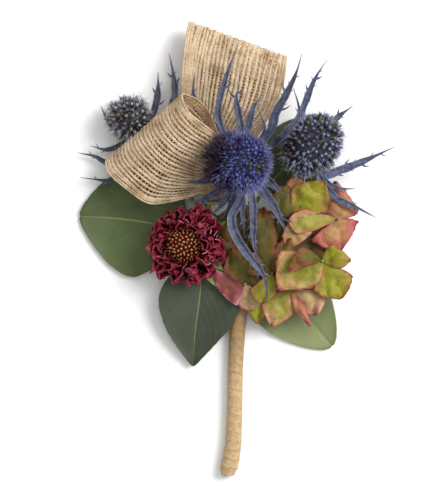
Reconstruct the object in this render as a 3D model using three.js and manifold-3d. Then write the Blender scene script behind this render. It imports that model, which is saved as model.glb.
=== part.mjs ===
// A boutonniere lying on its back with its flowers facing up: three sea hollies, a
// scabiosa, a hydrangea cluster and a eucalyptus sprig in front of a bow of two jute
// ribbon loops, all bound at the stems with tan tape.
// Millimetres. X runs across, Y along the stems towards the flowers, Z up from the
// surface it lies on. Lists of [x, y, z] are places measured on the real arrangement.
import * as THREE from 'three';
import { mergeVertices } from 'three/addons/utils/BufferGeometryUtils.js';
import Module from 'manifold-3d';

const wasm = await Module();
wasm.setup();

// Driving dimensions
const BLADE = 0.64;              // thickness of leaves and petals
const RIBBON_THICK = 0.8;        // jute ribbon
const STEM_RADIUS = 0.42;        // each stem where the tape binds it
const BUNDLE_RADIUS = 1.12;      // ring on which the six bound stems stand
const WIRE_RADIUS = 0.36;        // twisted florist's wire that holds the bow
const TAPE_PITCH = 2.6;          // one turn of the binding tape
const TAPE_RIDGE = 0.16;         // how far a turn's edge stands out
const TAPE_SLANT = 0.45;         // how far a turn climbs across the bundle
const BODY_CENTRE = [0.1, 0]; // middle of the outline, moved onto the origin
const SEAT_GAP = 0.3;            // between touching pieces
const PETAL_TOLERANCE = 0.07;    // detail under this is smoothed where petals cross

// Stations down the bound stems: [y, x, z, outer radius, inner radius]
const WRAP_STATIONS = [
  [-3.8, 2.4, 4.6, 3.2, 2.65],
  [-9, 2.2, 3.9, 2.95, 2.4],
  [-13, 1.95, 3.3, 2.55, 2.05],
  [-19, 1.35, 2.8, 2.4, 1.95],
  [-24.2, 0.75, 2.6, 2.35, 1.95],
  [-37.1, 0.1, 2.45, 2.3, 1.88],
  [-49.7, -0.1, 2.45, 2.3, 1.85],
  [-58.1, -0.4, 2.5, 2.35, 1.85],
  [-63.2, -1.2, 2.45, 2.6, 1.85],
  [-66.2, -1.8, 2.45, 2.65, 1.7],
  [-68.6, -2.1, 2.5, 1.3, 0.8],
];
const WRAP_SIDES = 10;
const WRAP_FLOOR = -64.6;        // where the closed end of the tape begins inside
const STEM_END = -63.2;          // where the bound stems are cut

const COLOUR = {
  tape: '#c9a56f',
  jute: '#cbae82',
  wire: '#5d6b4c',
  leaf: '#5c6b50',
  violet: '#4a4f97',
  steel: '#5a6190',
  slate: '#4f5670',
  burgundy: '#7a1428',
  bud: '#9a7440',
  green: '#6f8a3a',
  sepal: '#9aa34a',
};

const up = new THREE.Vector3(0, 0, 1);
const vec = (p) => new THREE.Vector3(p[0], p[1], p[2]);
const mix = (a, b, t) => a.clone().lerp(b, t);

// A seeded draw in [0, 1), so that each build grows the same plant
function seededDraw(seed) {
  let state = seed;
  return () => {
    state = (state * 1664525 + 1013904223) % 4294967296;
    return state / 4294967296;
  };
}

// Geometry helpers: each one returns a closed body with its faces pointing out

function body(points, triangles) {
  const geometry = new THREE.BufferGeometry();
  geometry.setAttribute('position', new THREE.Float32BufferAttribute(
    points.flatMap((p) => [p.x, p.y, p.z]), 3));
  geometry.setIndex(triangles.flat());
  return geometry;
}

// A skin over rings of equal count, closed at both ends
function loft(rings) {
  const count = rings[0].length;
  const points = rings.flat();
  const triangles = [];
  for (let k = 0; k + 1 < rings.length; k += 1) {
    for (let i = 0; i < count; i += 1) {
      const a = k * count + i;
      const b = k * count + (i + 1) % count;
      triangles.push([a, b, b + count], [a, b + count, a + count]);
    }
  }
  const middle = (ring) => ring.reduce((sum, p) => sum.add(p), new THREE.Vector3())
    .divideScalar(count);
  const first = points.push(middle(rings[0])) - 1;
  const last = points.push(middle(rings[rings.length - 1])) - 1;
  const lastRing = (rings.length - 1) * count;
  for (let i = 0; i < count; i += 1) {
    const j = (i + 1) % count;
    triangles.push([first, j, i], [last, lastRing + i, lastRing + j]);
  }
  return body(points, triangles);
}

// A thin blade over a grid of points, split alike on both faces
function blade(rows, thickness) {
  const high = rows.length;
  const wide = rows[0].length;
  const index = (face, r, c) => face * high * wide + r * wide + c;
  const faces = [[], []];
  for (let r = 0; r < high; r += 1) {
    for (let c = 0; c < wide; c += 1) {
      const along = rows[Math.min(r + 1, high - 1)][c].clone()
        .sub(rows[Math.max(r - 1, 0)][c]);
      const across = rows[r][Math.min(c + 1, wide - 1)].clone()
        .sub(rows[r][Math.max(c - 1, 0)]);
      const normal = along.cross(across).normalize().multiplyScalar(thickness / 2);
      faces[0].push(rows[r][c].clone().add(normal));
      faces[1].push(rows[r][c].clone().sub(normal));
    }
  }
  const triangles = [];
  const quad = (a, b, c, d) => triangles.push([a, b, c], [a, c, d]);
  for (let r = 0; r + 1 < high; r += 1) {
    for (let c = 0; c + 1 < wide; c += 1) {
      const corner = (face) => [index(face, r, c), index(face, r + 1, c),
        index(face, r + 1, c + 1), index(face, r, c + 1)];
      const [a, b, d, e] = corner(0);
      quad(a, b, d, e);
      const [f, g, h, i] = corner(1);
      triangles.push([f, h, g], [f, i, h]);
    }
  }
  const rim = [];
  for (let r = 0; r < high; r += 1) rim.push([r, 0]);
  for (let c = 1; c < wide; c += 1) rim.push([high - 1, c]);
  for (let r = high - 2; r >= 0; r -= 1) rim.push([r, wide - 1]);
  for (let c = wide - 2; c > 0; c -= 1) rim.push([0, c]);
  rim.forEach(([r, c], k) => {
    const [nextR, nextC] = rim[(k + 1) % rim.length];
    quad(index(0, nextR, nextC), index(0, r, c), index(1, r, c), index(1, nextR, nextC));
  });
  return body([...faces[0], ...faces[1]], triangles);
}

// A round tube along a curve, with a radius for each share of its length
function tube(points, radiusAt, sides, steps) {
  const curve = new THREE.CatmullRomCurve3(points.map(vec), false, 'centripetal');
  const frames = curve.computeFrenetFrames(steps, false);
  const rings = [];
  for (let k = 0; k <= steps; k += 1) {
    const centre = curve.getPointAt(k / steps);
    const radius = radiusAt(k / steps);
    const ring = [];
    for (let i = 0; i < sides; i += 1) {
      const angle = (2 * Math.PI * i) / sides;
      ring.push(centre.clone()
        .addScaledVector(frames.normals[k], radius * Math.cos(angle))
        .addScaledVector(frames.binormals[k], radius * Math.sin(angle)));
    }
    rings.push(ring);
  }
  return loft(rings);
}

// A sharp spike from a sunk root to its tip
function spike(root, tip, radius, sides = 3) {
  const direction = tip.clone().sub(root);
  const geometry = new THREE.ConeGeometry(radius, direction.length(), sides);
  geometry.translate(0, direction.length() / 2, 0);
  geometry.applyQuaternion(new THREE.Quaternion().setFromUnitVectors(
    new THREE.Vector3(0, 1, 0), direction.normalize()));
  geometry.translate(root.x, root.y, root.z);
  return geometry;
}

// Joining and cutting

function toSolid(geometry) {
  const bare = geometry.clone();
  bare.deleteAttribute('normal');
  bare.deleteAttribute('uv');
  const merged = mergeVertices(bare, 1e-5);
  return new wasm.Manifold(new wasm.Mesh({
    numProp: 3,
    vertProperties: new Float32Array(merged.attributes.position.array),
    triVerts: new Uint32Array(merged.index.array),
  }));
}

function toGeometry(solid, tolerance = 0.02) {
  const mesh = solid.simplify(tolerance).getMesh();
  const geometry = new THREE.BufferGeometry();
  geometry.setAttribute('position', new THREE.BufferAttribute(mesh.vertProperties, 3));
  geometry.setIndex(new THREE.BufferAttribute(mesh.triVerts, 1));
  return geometry;
}

// The largest body alone: a hollow sealed by the join is filled and a loose scrap dropped
const soundBody = (solid) => solid.decompose()
  .reduce((largest, each) => (each.volume() > largest.volume() ? each : largest));

const fuse = (geometries, tolerance) => toGeometry(soundBody(
  geometries.map(toSolid).reduce((whole, piece) => whole.add(piece))), tolerance);

// Stems

function wrapAt(y) {
  const last = WRAP_STATIONS.length - 1;
  let k = 0;
  while (k < last - 1 && y < WRAP_STATIONS[k + 1][0]) k += 1;
  const [from, to] = [WRAP_STATIONS[k], WRAP_STATIONS[k + 1]];
  const t = THREE.MathUtils.clamp((y - from[0]) / (to[0] - from[0]), 0, 1);
  const [x, z, outer, inner] = [1, 2, 3, 4].map((i) => THREE.MathUtils.lerp(from[i], to[i], t));
  return { x, z, outer, inner };
}

// The places of a bound stem, from the mouth of the tape down to its cut end
function boundRun(degrees, ring = BUNDLE_RADIUS, end = STEM_END) {
  const angle = THREE.MathUtils.degToRad(degrees);
  return [-9, -13, -19, -24.2, -37.1, -49.7, end].map((y) => {
    const spread = ring * (1 + 0.3 * THREE.MathUtils.smoothstep(y, -15, -8));
    const { x, z } = wrapAt(y);
    return [x + spread * Math.cos(angle), y, z + spread * Math.sin(angle)];
  });
}

function stem(route, degrees, startRadius, ring = BUNDLE_RADIUS) {
  const swell = (t) => THREE.MathUtils.lerp(startRadius, STEM_RADIUS, Math.min(1, t * 3));
  return tube([...route, ...boundRun(degrees, ring)], swell, 5, 16);
}

function stemWrap() {
  const ringAt = (y, radius, slant) => {
    const { x, z } = wrapAt(y);
    return Array.from({ length: WRAP_SIDES }, (_, i) => {
      const angle = (2 * Math.PI * i) / WRAP_SIDES;
      return new THREE.Vector3(x + radius * Math.cos(angle), y + slant * Math.cos(angle),
        z + radius * Math.sin(angle));
    });
  };
  const top = WRAP_STATIONS[0][0];
  const bottom = WRAP_STATIONS[WRAP_STATIONS.length - 1][0];
  const rings = [];
  for (const y of [WRAP_FLOOR, -50, -34, -20, -13, -9, top]) {
    rings.push(ringAt(y, wrapAt(y).inner, 0));
  }
  rings.push(ringAt(top, wrapAt(top).outer, 0));
  for (let y = top - 1; y > bottom + 1.4; y -= TAPE_PITCH) {
    rings.push(ringAt(y, wrapAt(y).outer - TAPE_RIDGE * 0.4, TAPE_SLANT));
    rings.push(ringAt(y - TAPE_PITCH * 0.3, wrapAt(y - TAPE_PITCH * 0.3).outer + TAPE_RIDGE,
      TAPE_SLANT));
  }
  rings.push(ringAt(bottom, wrapAt(bottom).outer, 0));
  const below = new THREE.BoxGeometry(40, 160, 10).translate(0, -40, -5);
  return toGeometry(toSolid(loft(rings)).subtract(toSolid(below)));
}

// Eucalyptus: leaves on their petioles, grown from one twig

const LEAVES = [
  { name: 'left', axis: [[-15, 4.6, 2.5], [-26, 8.0, 1.3], [-38, 9.6, 0.4], [-47.1, 10.1, 1.0]],
    half: 17, rise: 0.85, round: 0.7, cup: 0.03,
    petiole: [[2.4, 2.4, 2.4], [-4, 3.2, 2.3], [-11, 3.8, 2.4], [-17, 5.2, 2.4]] },
  { name: 'lower', axis: [[-9.9, -3.2, 5.9], [-10.6, -14, 5.5], [-12, -25, 4.0], [-12.6, -35.4, 2.0]],
    half: 12.2, rise: 0.72, round: 0.95, cup: 0.11,
    petiole: [[2.5, 3.8, 2.3], [-3.5, 4.6, 2.4], [-8.6, 2.4, 3.9], [-9.9, -1.8, 5.5], [-10.1, -6, 5.8]] },
  { name: 'right', axis: [[9.2, -7.2, 2.2], [15.4, -13.8, 1.4], [22.3, -21.3, 0.45], [29.6, -29.4, 0.6]],
    half: 11.9, rise: 0.6, round: 0.6, cup: 0.09,
    petiole: [[2.6, 3.2, 2.3], [7, 1.6, 2.3], [9.4, -3, 2.3], [10.8, -9.8, 2.1]] },
  { name: 'back', axis: [[9.5, 18.9, 2.1], [17, 25.5, 1.3], [25, 33, 0.35], [31.5, 38.9, 0.8]],
    half: 12.2, rise: 0.72, round: 0.52, cup: 0.07,
    petiole: [[4.0, 10.0, 2.1], [6.6, 14.6, 2.2], [11.5, 21, 2.3]] },
];
const TWIG = [[7.2, 15.4, 2.3], [4.4, 10.6, 2.1], [2.6, 4, 2.3], [2.4, -1, 2.9], [2.3, -5, 3.1]];
const LEAF_ROWS = 10;
const LEAF_COLUMNS = 4;

function leafBlade({ axis, half, rise, round, cup }) {
  const spine = new THREE.CatmullRomCurve3(axis.map(vec), false, 'centripetal');
  const rows = [];
  for (let r = 0; r < LEAF_ROWS; r += 1) {
    const t = 0.015 + (0.97 * r) / (LEAF_ROWS - 1);
    const centre = spine.getPointAt(t);
    const across = up.clone().cross(spine.getTangentAt(t)).normalize();
    const width = half * Math.sin(Math.PI * t ** rise) ** round;
    const row = [];
    for (let c = 0; c <= LEAF_COLUMNS; c += 1) {
      const s = (2 * c) / LEAF_COLUMNS - 1;
      const wave = 0.35 * Math.sin(5.2 * t + 2 * s) * s * s;
      row.push(centre.clone().addScaledVector(across, -s * width)
        .addScaledVector(up, cup * width * s * s + wave + 0.4 * Math.abs(s)));
    }
    rows.push(row);
  }
  return blade(rows, BLADE);
}

function eucalyptusSprig() {
  const pieces = [tube([...TWIG, ...boundRun(-90)],
    (t) => THREE.MathUtils.lerp(0.6, STEM_RADIUS, Math.min(1, t * 4)), 5, 16)];
  for (const leaf of LEAVES) {
    pieces.push(leafBlade(leaf), tube(leaf.petiole, () => 0.42, 5, 7));
  }
  return fuse(pieces);
}

// Sea hollies: a cone of spiny florets on a stem with a ruff of toothed bracts

const SEA_HOLLIES = [
  {
    name: 'centre', seed: 11, head: 'violet', ruff: 'steel',
    centre: [1.5, 25.4, 23], axis: [0.03, 0.06, 1], core: 7.2, reach: 9.9, florets: 48,
    stem: [[1.9, 22.5, 12.2], [2.2, 15, 8.8], [2.4, 5, 7.0], [2.4, -3.4, 6.1]], bound: 90,
    bracts: [
      { path: [[-3.9, 35.6, 17.2], [-5.1, 40.4, 17.8], [-3.9, 47, 18.2], [-1.4, 55, 18.6], [0.9, 60.8, 18]],
        width: 1.9, teeth: [[0.62, 1, 2.4], [0.4, -1, 1.6]] },
      { path: [[1.8, 35.3, 16.6], [1.2, 39.5, 17], [0.3, 45.2, 17.6], [1.5, 49.1, 17.4]],
        width: 2.1, teeth: [[0.74, -1, 2.6]] },
      { path: [[3.6, 35.3, 16.4], [5.4, 41.9, 17], [7.8, 45.9, 16.6]], width: 1.7, teeth: [] },
      { path: [[8.7, 35.6, 16.6], [6.9, 41.6, 17.6]], width: 1.3, teeth: [] },
      { path: [[10.5, 35.6, 16.4], [12, 40.4, 17.2], [14.7, 45.2, 18.4], [18, 52.1, 19.4], [19.8, 58.1, 19]],
        width: 2.7, teeth: [[0.66, -1, 2.6], [0.5, 1, 3.0]] },
      { path: [[10.8, 31, 17.2], [14.9, 34.6, 21.6], [18.8, 40, 22], [17.4, 47.9, 19]],
        width: 1.7, teeth: [] },
      { path: [[1.8, 15.5, 15.6], [-1.1, 9.5, 16.2], [0, 4.4, 16.6], [3.9, -1.7, 16.8],
        [7.9, -6.6, 16.4], [9.4, -11, 15.6], [9, -17.3, 14.6]],
        width: 2.1, teeth: [[0.3, -1, 2.2], [0.86, 1, 1.6]] },
      { path: [[5.1, 15.2, 15.4], [5.4, 7.5, 15.2], [5.6, 2, 15.0], [7.4, -5.0, 15.2]],
        width: 3.2, teeth: [[0.55, 1, 1.8], [0.3, 1, 1.6]] },
      { path: [[2.4, 14.5, 14.8], [2.1, 11.2, 14.6], [3, 3.5, 13.8]], width: 1.4, teeth: [] },
      { path: [[8.4, 17, 15.8], [12, 11.9, 16.6], [14.1, 7.5, 17.2], [15.6, 4.7, 17.0]],
        width: 2.9, teeth: [[0.78, -1, 2.3]] },
      { path: [[10.4, 19.9, 15.8], [14.6, 16.0, 16.4]], width: 2.8, teeth: [] },
      { path: [[-4.8, 17.6, 15.4], [-9, 15.4, 15.2], [-13.5, 13.7, 15.4]],
        width: 2.4, teeth: [[0.7, -1, 1.6]] },
      { path: [[-2.1, 15.8, 14.6], [-4.6, 12.6, 14.2], [-7.2, 10.1, 14.4]],
        width: 2.2, teeth: [[0.6, 1, 1.9], [0.8, -1, 1.4]] },
      { path: [[-7.7, 20.9, 15.6], [-11, 20.2, 15.8], [-14.1, 20, 15.4]], width: 2.7, teeth: [] },
      { path: [[-0.4, 15.4, 14.2], [-2.2, 11.6, 13.4], [-4.6, 8.6, 13.6]], width: 1.8, teeth: [] },
    ],
  },
  {
    name: 'right', seed: 23, head: 'slate', ruff: 'slate',
    centre: [22.9, 31.2, 15.6], axis: [0.2, 0.14, 0.97], core: 7.1, reach: 9.9, florets: 42,
    long: [0.69, 0.72],
    stem: [[20.6, 29, 6.0], [17, 21, 5.4], [9.4, 8.6, 4.9], [4.9, 0.4, 4.4], [3.9, -3.6, 4.1]], bound: -30,
    bracts: [
      { path: [[20.1, 41, 9.5], [21.3, 44.6, 10.5], [24, 51.2, 12], [27.6, 56.9, 12.4]],
        width: 2.0, teeth: [[0.6, -1, 1.8], [0.75, 1, 1.6]] },
      { path: [[30.6, 39.5, 9.2], [35.4, 43.1, 10.4]], width: 2.2, teeth: [[0.7, -1, 1.6]] },
      { path: [[26.5, 22.6, 8.6], [31.8, 23.9, 9.2], [38.1, 26.3, 10.2], [47.9, 30.8, 11]],
        width: 2.4, teeth: [[0.62, 1, 2.2], [0.48, -1, 2.2], [0.36, 1, 1.8]] },
      { path: [[27.4, 20.2, 9.2], [31, 18.4, 10.2], [36, 18.2, 10.6]], width: 1.9, teeth: [] },
      { path: [[27.6, 18.0, 9.8], [31.8, 14.6, 10.8], [36, 12.8, 11.4], [42.3, 9.5, 11.6]],
        width: 2.2, teeth: [[0.74, 1, 2.0]] },
    ],
  },
  {
    name: 'left', seed: 37, head: 'slate', ruff: 'slate',
    centre: [-31.9, 39.5, 7.1], axis: [-0.3, 0.52, 0.8], core: 4.7, reach: 6.9, florets: 34,
    stem: [[-28.6, 33.0, 3.6], [-21, 24.5, 3.7], [-10.5, 12.4, 4.2], [-2.2, 3.4, 4.4], [0.9, -3.2, 4.1]],
    bound: 210,
    bracts: [
      { path: [[-25.4, 39.6, 6.2], [-23.3, 46, 8.4], [-23.1, 53.3, 9.4]],
        width: 1.9, teeth: [[0.66, -1, 1.8], [0.52, 1, 2.2]] },
      { path: [[-22.5, 37.6, 5.2], [-18.3, 45.5, 6.6], [-18.6, 52.7, 8.0], [-19.8, 59, 8.2]],
        width: 1.7, teeth: [[0.7, 1, 1.8], [0.74, -1, 1.6]] },
      { path: [[-35.6, 36.2, 1.9], [-38.8, 39.6, 3.2], [-40.5, 43.4, 4.6]], width: 1.4, teeth: [] },
      { path: [[-33.5, 32.4, 4.4], [-38.5, 30.2, 3.6], [-43.8, 31.4, 3.8]], width: 1.5, teeth: [] },
      { path: [[-32, 29.4, 3.4], [-39.2, 26.6, 2.8], [-42.4, 28.2, 3.0], [-47.7, 29.3, 3.2]],
        width: 1.7, teeth: [] },
      { path: [[-31.4, 27.4, 3.7], [-37.2, 21.0, 4.1], [-42, 21.2, 3.6], [-46.8, 21.8, 3.6]],
        width: 1.5, teeth: [] },
    ],
  },
];
const DOME_RISE = 1.06;          // how much taller than wide a head's core is
const HEAD_LENGTH = 1.16;        // of an oval head, against a round one
const HEAD_BREADTH = 0.93;
const COLLAR_RADIUS = 2.4;
const BRACT_THICK = 0.72;

function headBase({ centre, axis, core }) {
  return vec(centre).addScaledVector(vec(axis).normalize(), -(core * DOME_RISE + SEAT_GAP));
}

// Stretches an oval head along its long direction; a round head stays as it is
function headShape(long) {
  if (!long) return new THREE.Matrix4();
  const turn = new THREE.Matrix4().makeRotationZ(Math.atan2(long[1], long[0]));
  const stretch = new THREE.Matrix4().makeScale(HEAD_LENGTH, HEAD_BREADTH, 1);
  return turn.clone().multiply(stretch).multiply(turn.clone().invert());
}

function seaHollyHead({ seed, centre, axis, core, reach, florets, long }) {
  const draw = seededDraw(seed);
  const middle = vec(centre);
  const pole = vec(axis).normalize();
  const turn = new THREE.Quaternion().setFromUnitVectors(up, pole);
  const dome = new THREE.IcosahedronGeometry(core, 1).scale(1, 1, DOME_RISE)
    .applyQuaternion(turn);
  const pieces = [dome];
  const golden = Math.PI * (3 - Math.sqrt(5));
  for (let i = 0; i < florets; i += 1) {
    const height = 1 - (1.46 * (i + 0.5)) / florets;
    const side = Math.sqrt(1 - height * height);
    const direction = new THREE.Vector3(side * Math.cos(golden * i),
      side * Math.sin(golden * i), height).applyQuaternion(turn);
    const tip = direction.multiplyScalar(reach * (0.95 + 0.07 * draw()));
    pieces.push(spike(tip.clone().multiplyScalar(0.62), tip, reach * 0.155));
  }
  return fuse(pieces).applyMatrix4(headShape(long)).translate(middle.x, middle.y, middle.z);
}

// A keeled, tapering bract with sharp side teeth
function bract({ path, width, teeth }, root) {
  const start = mix(root, vec(path[0]), 0.12);
  const curve = new THREE.CatmullRomCurve3([start, ...path.map(vec)], false, 'centripetal');
  const steps = 2 + path.length;
  const acrossAt = (t) => up.clone().cross(curve.getTangentAt(t)).normalize();
  const rings = [];
  for (let k = 0; k <= steps; k += 1) {
    const t = k / steps;
    const centre = curve.getPointAt(t);
    const across = acrossAt(t);
    const keel = curve.getTangentAt(t).cross(across).normalize();
    const swell = 0.55 + 0.45 * Math.sin(Math.PI * Math.min(1, t * 1.15));
    const taper = Math.min(1, (1 - t) * 3.2 + 0.07);
    const half = (width / 2) * swell * taper;
    const deep = (BRACT_THICK / 2) * Math.min(1, (1 - t) * 4 + 0.2);
    rings.push([
      centre.clone().addScaledVector(across, half).addScaledVector(keel, deep * 0.5),
      centre.clone().addScaledVector(keel, deep * 0.9),
      centre.clone().addScaledVector(across, -half).addScaledVector(keel, deep * 0.5),
      centre.clone().addScaledVector(keel, -deep),
    ]);
  }
  const pieces = [loft(rings)];
  for (const [t, side, length] of teeth) {
    const from = curve.getPointAt(t);
    const lean = acrossAt(t).multiplyScalar(-side * 0.75)
      .addScaledVector(curve.getTangentAt(t), 0.66).normalize();
    pieces.push(spike(from, from.clone().addScaledVector(lean, length + width / 2), 0.42));
  }
  return pieces;
}

function seaHollyRuff(flower) {
  const root = headBase(flower);
  const pole = vec(flower.axis).normalize();
  const collar = new THREE.CylinderGeometry(COLLAR_RADIUS, 1.1, 1.6, 8)
    .rotateX(Math.PI / 2).translate(0, 0, -0.8)
    .applyQuaternion(new THREE.Quaternion().setFromUnitVectors(up, pole))
    .translate(root.x, root.y, root.z);
  const low = root.clone().addScaledVector(pole, -1);
  const pieces = [collar, stem([low.toArray(), ...flower.stem], flower.bound, 0.75)];
  for (const each of flower.bracts) pieces.push(...bract(each, low));
  return fuse(pieces);
}

// A narrow green bract of the scabiosa's calyx, from its root to its tip
function calyxFinger(base, tip, width) {
  const along = tip.clone().sub(base);
  const direction = along.clone().normalize();
  const across = up.clone().cross(direction).normalize();
  const normal = direction.clone().cross(across);
  const rows = [];
  for (let r = 0; r <= FINGER_ROWS; r += 1) {
    const t = r / FINGER_ROWS;
    const spread = Math.max(0.16, Math.sin(Math.PI * (0.04 + 0.9 * t) ** 0.8) ** 0.8);
    const sag = 0.08 * along.length() * t * (1 - t);
    const row = [];
    for (const s of [-1, 0, 1]) {
      row.push(base.clone().addScaledVector(along, t)
        .addScaledVector(across, -s * spread * width * 0.5)
        .addScaledVector(normal, 0.1 * width * s * s * spread - sag));
    }
    rows.push(row);
  }
  return blade(rows, BLADE);
}

// Hydrangea: four-sepal florets on pedicels from one branching stalk.
// Each sepal is its left shoulder, its tip and its right shoulder, seen from the floret's centre.
const SEPAL_ROWS = 3;
const SEPAL_COLUMNS = 2;
const SEPAL_CORNER = 0.45;       // how sharply the edge bends at the shoulders, from 0 to 1
const SEPAL_DOME = 0.5;
const SEPAL_CRUMPLE = 0.45;
const HYDRANGEA_HUB = [12, -1, 6.6];
const FLORETS = [
  { centre: [17.6, 10, 12], sepals: [
    [[17.1, 18.8, 13.4], [26.7, 20.6, 13.6], [28.2, 11.6, 13.2]],
    [[11, 10.5, 12.2], [12.3, 18.4, 12.8], [17, 18.4, 12.6]],
    [[23.1, 5.2, 12.6], [15.9, -0.2, 12.6], [14.1, 4.6, 12.2]],
    [[15.5, 19.5, 12.2], [17.5, 21.6, 12.4], [20.8, 19.8, 12.4]]] },
  { centre: [30.9, 9.1, 10.6], sepals: [
    [[19.5, 4.4, 13.2], [15.9, 8.6, 13.6], [20.4, 12.2, 13.8]],
    [[37, 8.2, 9.4], [31.5, -0.9, 9], [23.1, 2.9, 9.8]],
    [[25.5, 13.4, 8], [30.3, 20.9, 7.6], [37.2, 11.4, 8.8]],
    [[21, 4, 8.6], [19.5, 10.5, 8.4], [23, 14.5, 8.2]]] },
  { centre: [26.1, -3.5, 12.6], sepals: [
    [[24.9, -10.7, 13.2], [12.6, -12.2, 15.2], [13.5, -0.2, 16]],
    [[22, -4.6, 16.6], [15.6, -6.8, 18.4], [19.5, 0.8, 18]],
    [[35.2, -8, 12.2], [31.8, -14.9, 12], [23.7, -12.5, 12.2]],
    [[28.8, 1.8, 13.8], [34.8, -3.2, 13.6], [31, -5.8, 13.4]]] },
  { centre: [16.8, -12.2, 10], sepals: [
    [[27.6, -13, 10], [24.3, -20, 9.6], [18.3, -17.3, 9.6]],
    [[20.4, -16, 11.2], [22.8, -23.3, 10.4], [17.7, -17.9, 11]],
    [[17.7, -19.4, 9.4], [10.8, -23.3, 8.6], [8.1, -14.9, 9.4]],
    [[12, -7, 9.4], [17, -2, 9.6], [21.6, -7, 9.6]]] },
  { centre: [3, -10.4, 10], sepals: [
    [[0.3, -16.7, 9], [-6.3, -10.4, 8.6], [-5.7, -6.2, 8.8]],
    [[9.3, -14, 9.6], [5.1, -18.5, 8.8], [0.9, -16.7, 8.8]],
    [[-3.2, -6.4, 11.4], [-0.9, 0.8, 11.2], [8, -3.5, 11]],
    [[9.9, -17.6, 8.4], [6.6, -22.4, 8], [3.6, -18.2, 8]]] },
  { centre: [11.1, -7.1, 12], sepals: [
    [[4, 3.5, 12.2], [8.6, 13, 12.4], [12.6, 4.5, 12.6]],
    [[12.3, 1.1, 12.6], [16.8, 3.5, 12.6], [17.1, -3.8, 12.2]],
    [[12.6, -12.8, 12], [8.1, -16.4, 11.4], [4.4, -12.2, 11.4]],
    [[5.1, -7.7, 12], [0.9, -3.8, 12], [5.1, -0.8, 12.2]]] },
  { centre: [4.2, 4.7, 10.2], sepals: [
    [[-1.6, 1.8, 9], [-6.4, 8, 8.6], [-1.8, 12.2, 9.2]],
    [[-1.6, 9, 10.8], [1.2, 14, 11.2], [7, 11, 11.2]],
    [[7, 12, 10.8], [10.6, 11, 10.8], [11.5, 4.2, 10.4]],
    [[10.5, 1.5, 9.8], [8.8, -4.6, 9.6], [2.2, -2.4, 9.6]]] },
  { centre: [20, -1, 7.2], sepals: [
    [[30.4, -1.6, 6.4], [30.4, -9, 6.2], [23, -9.5, 6.2]],
    [[18.5, 7, 6.6], [27.5, 9, 6.4], [29.4, -0.6, 6.4]],
    [[17, -8.5, 6.4], [11.5, -8.5, 6.4], [11.2, -2.4, 7]],
    [[10.5, 1.5, 8.2], [10.5, 8.5, 8.8], [17.5, 10, 8.6]]] },
  { centre: [4.6, -2.6, 8.8], sepals: [
    [[-3.6, -5.2, 8.4], [-6.2, -0.4, 8.4], [-2.6, 3.4, 8.5]],
    [[9.5, -6, 8.8], [9.5, -12.5, 9], [3.2, -9, 9]],
    [[6.5, 3.5, 8.5], [11.5, 2, 8.4], [10.8, -3.4, 8.4]],
    [[2.6, -8.2, 8.6], [-1.5, -8.2, 8.6], [-3.2, -4.6, 8.4]]] },
];

// A place on a sepal's edge, which bends fairly sharply at the shoulder, half way to the tip
function sepalEdge(base, shoulder, tip, t) {
  const control = shoulder.clone().multiplyScalar(2).sub(mix(base, tip, 0.5));
  const round = mix(mix(base, control, t), mix(control, tip, t), t);
  const bent = t < 0.5 ? mix(base, shoulder, 2 * t) : mix(shoulder, tip, 2 * t - 1);
  return mix(round, bent, SEPAL_CORNER);
}

// A broad sepal between its two edges, a little domed and crumpled
function sepal(base, [left, tip, right], phase) {
  const rows = [];
  for (let r = 0; r <= SEPAL_ROWS; r += 1) {
    const t = 0.06 + (0.9 * r) / SEPAL_ROWS;
    const from = sepalEdge(base, left, tip, t);
    const to = sepalEdge(base, right, tip, t);
    const row = [];
    for (let c = 0; c <= SEPAL_COLUMNS; c += 1) {
      const s = c / SEPAL_COLUMNS;
      const lift = SEPAL_DOME * 4 * s * (1 - s) * Math.sin(Math.PI * t)
        + SEPAL_CRUMPLE * t * Math.sin(phase + 7 * s + 4 * t);
      row.push(mix(from, to, s).addScaledVector(up, lift));
    }
    rows.push(row);
  }
  return blade(rows, BLADE);
}

function hydrangea() {
  const draw = seededDraw(5);
  const hub = vec(HYDRANGEA_HUB);
  const pieces = [stem([HYDRANGEA_HUB, [7.6, -0.4, 6.2], [5.0, -1.6, 5.7], [3.8, -4.8, 5.0]], 30, 0.6)];
  pieces.push(new THREE.OctahedronGeometry(1.3).translate(hub.x, hub.y, hub.z));
  for (const { centre, sepals } of FLORETS) {
    const middle = vec(centre);
    const drop = middle.clone().addScaledVector(up, -1.4);
    const bend = mix(hub, drop, 0.6).addScaledVector(up, -0.8);
    pieces.push(tube([hub.toArray(), bend.toArray(), drop.toArray(), middle.toArray()],
      () => 0.42, 4, 4));
    pieces.push(new THREE.OctahedronGeometry(1.1).translate(middle.x, middle.y, middle.z));
    for (const corners of sepals) pieces.push(sepal(middle, corners.map(vec), 6 * draw()));
  }
  return fuse(pieces, PETAL_TOLERANCE);
}

// Scabiosa: three layers of frilled petals round a pincushion of buds, on a green calyx

const SCABIOSA_CENTRE = [-14.2, 1.1, 9.2];
const SCABIOSA_AXIS = [-0.2, 0.02, 1];
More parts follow.
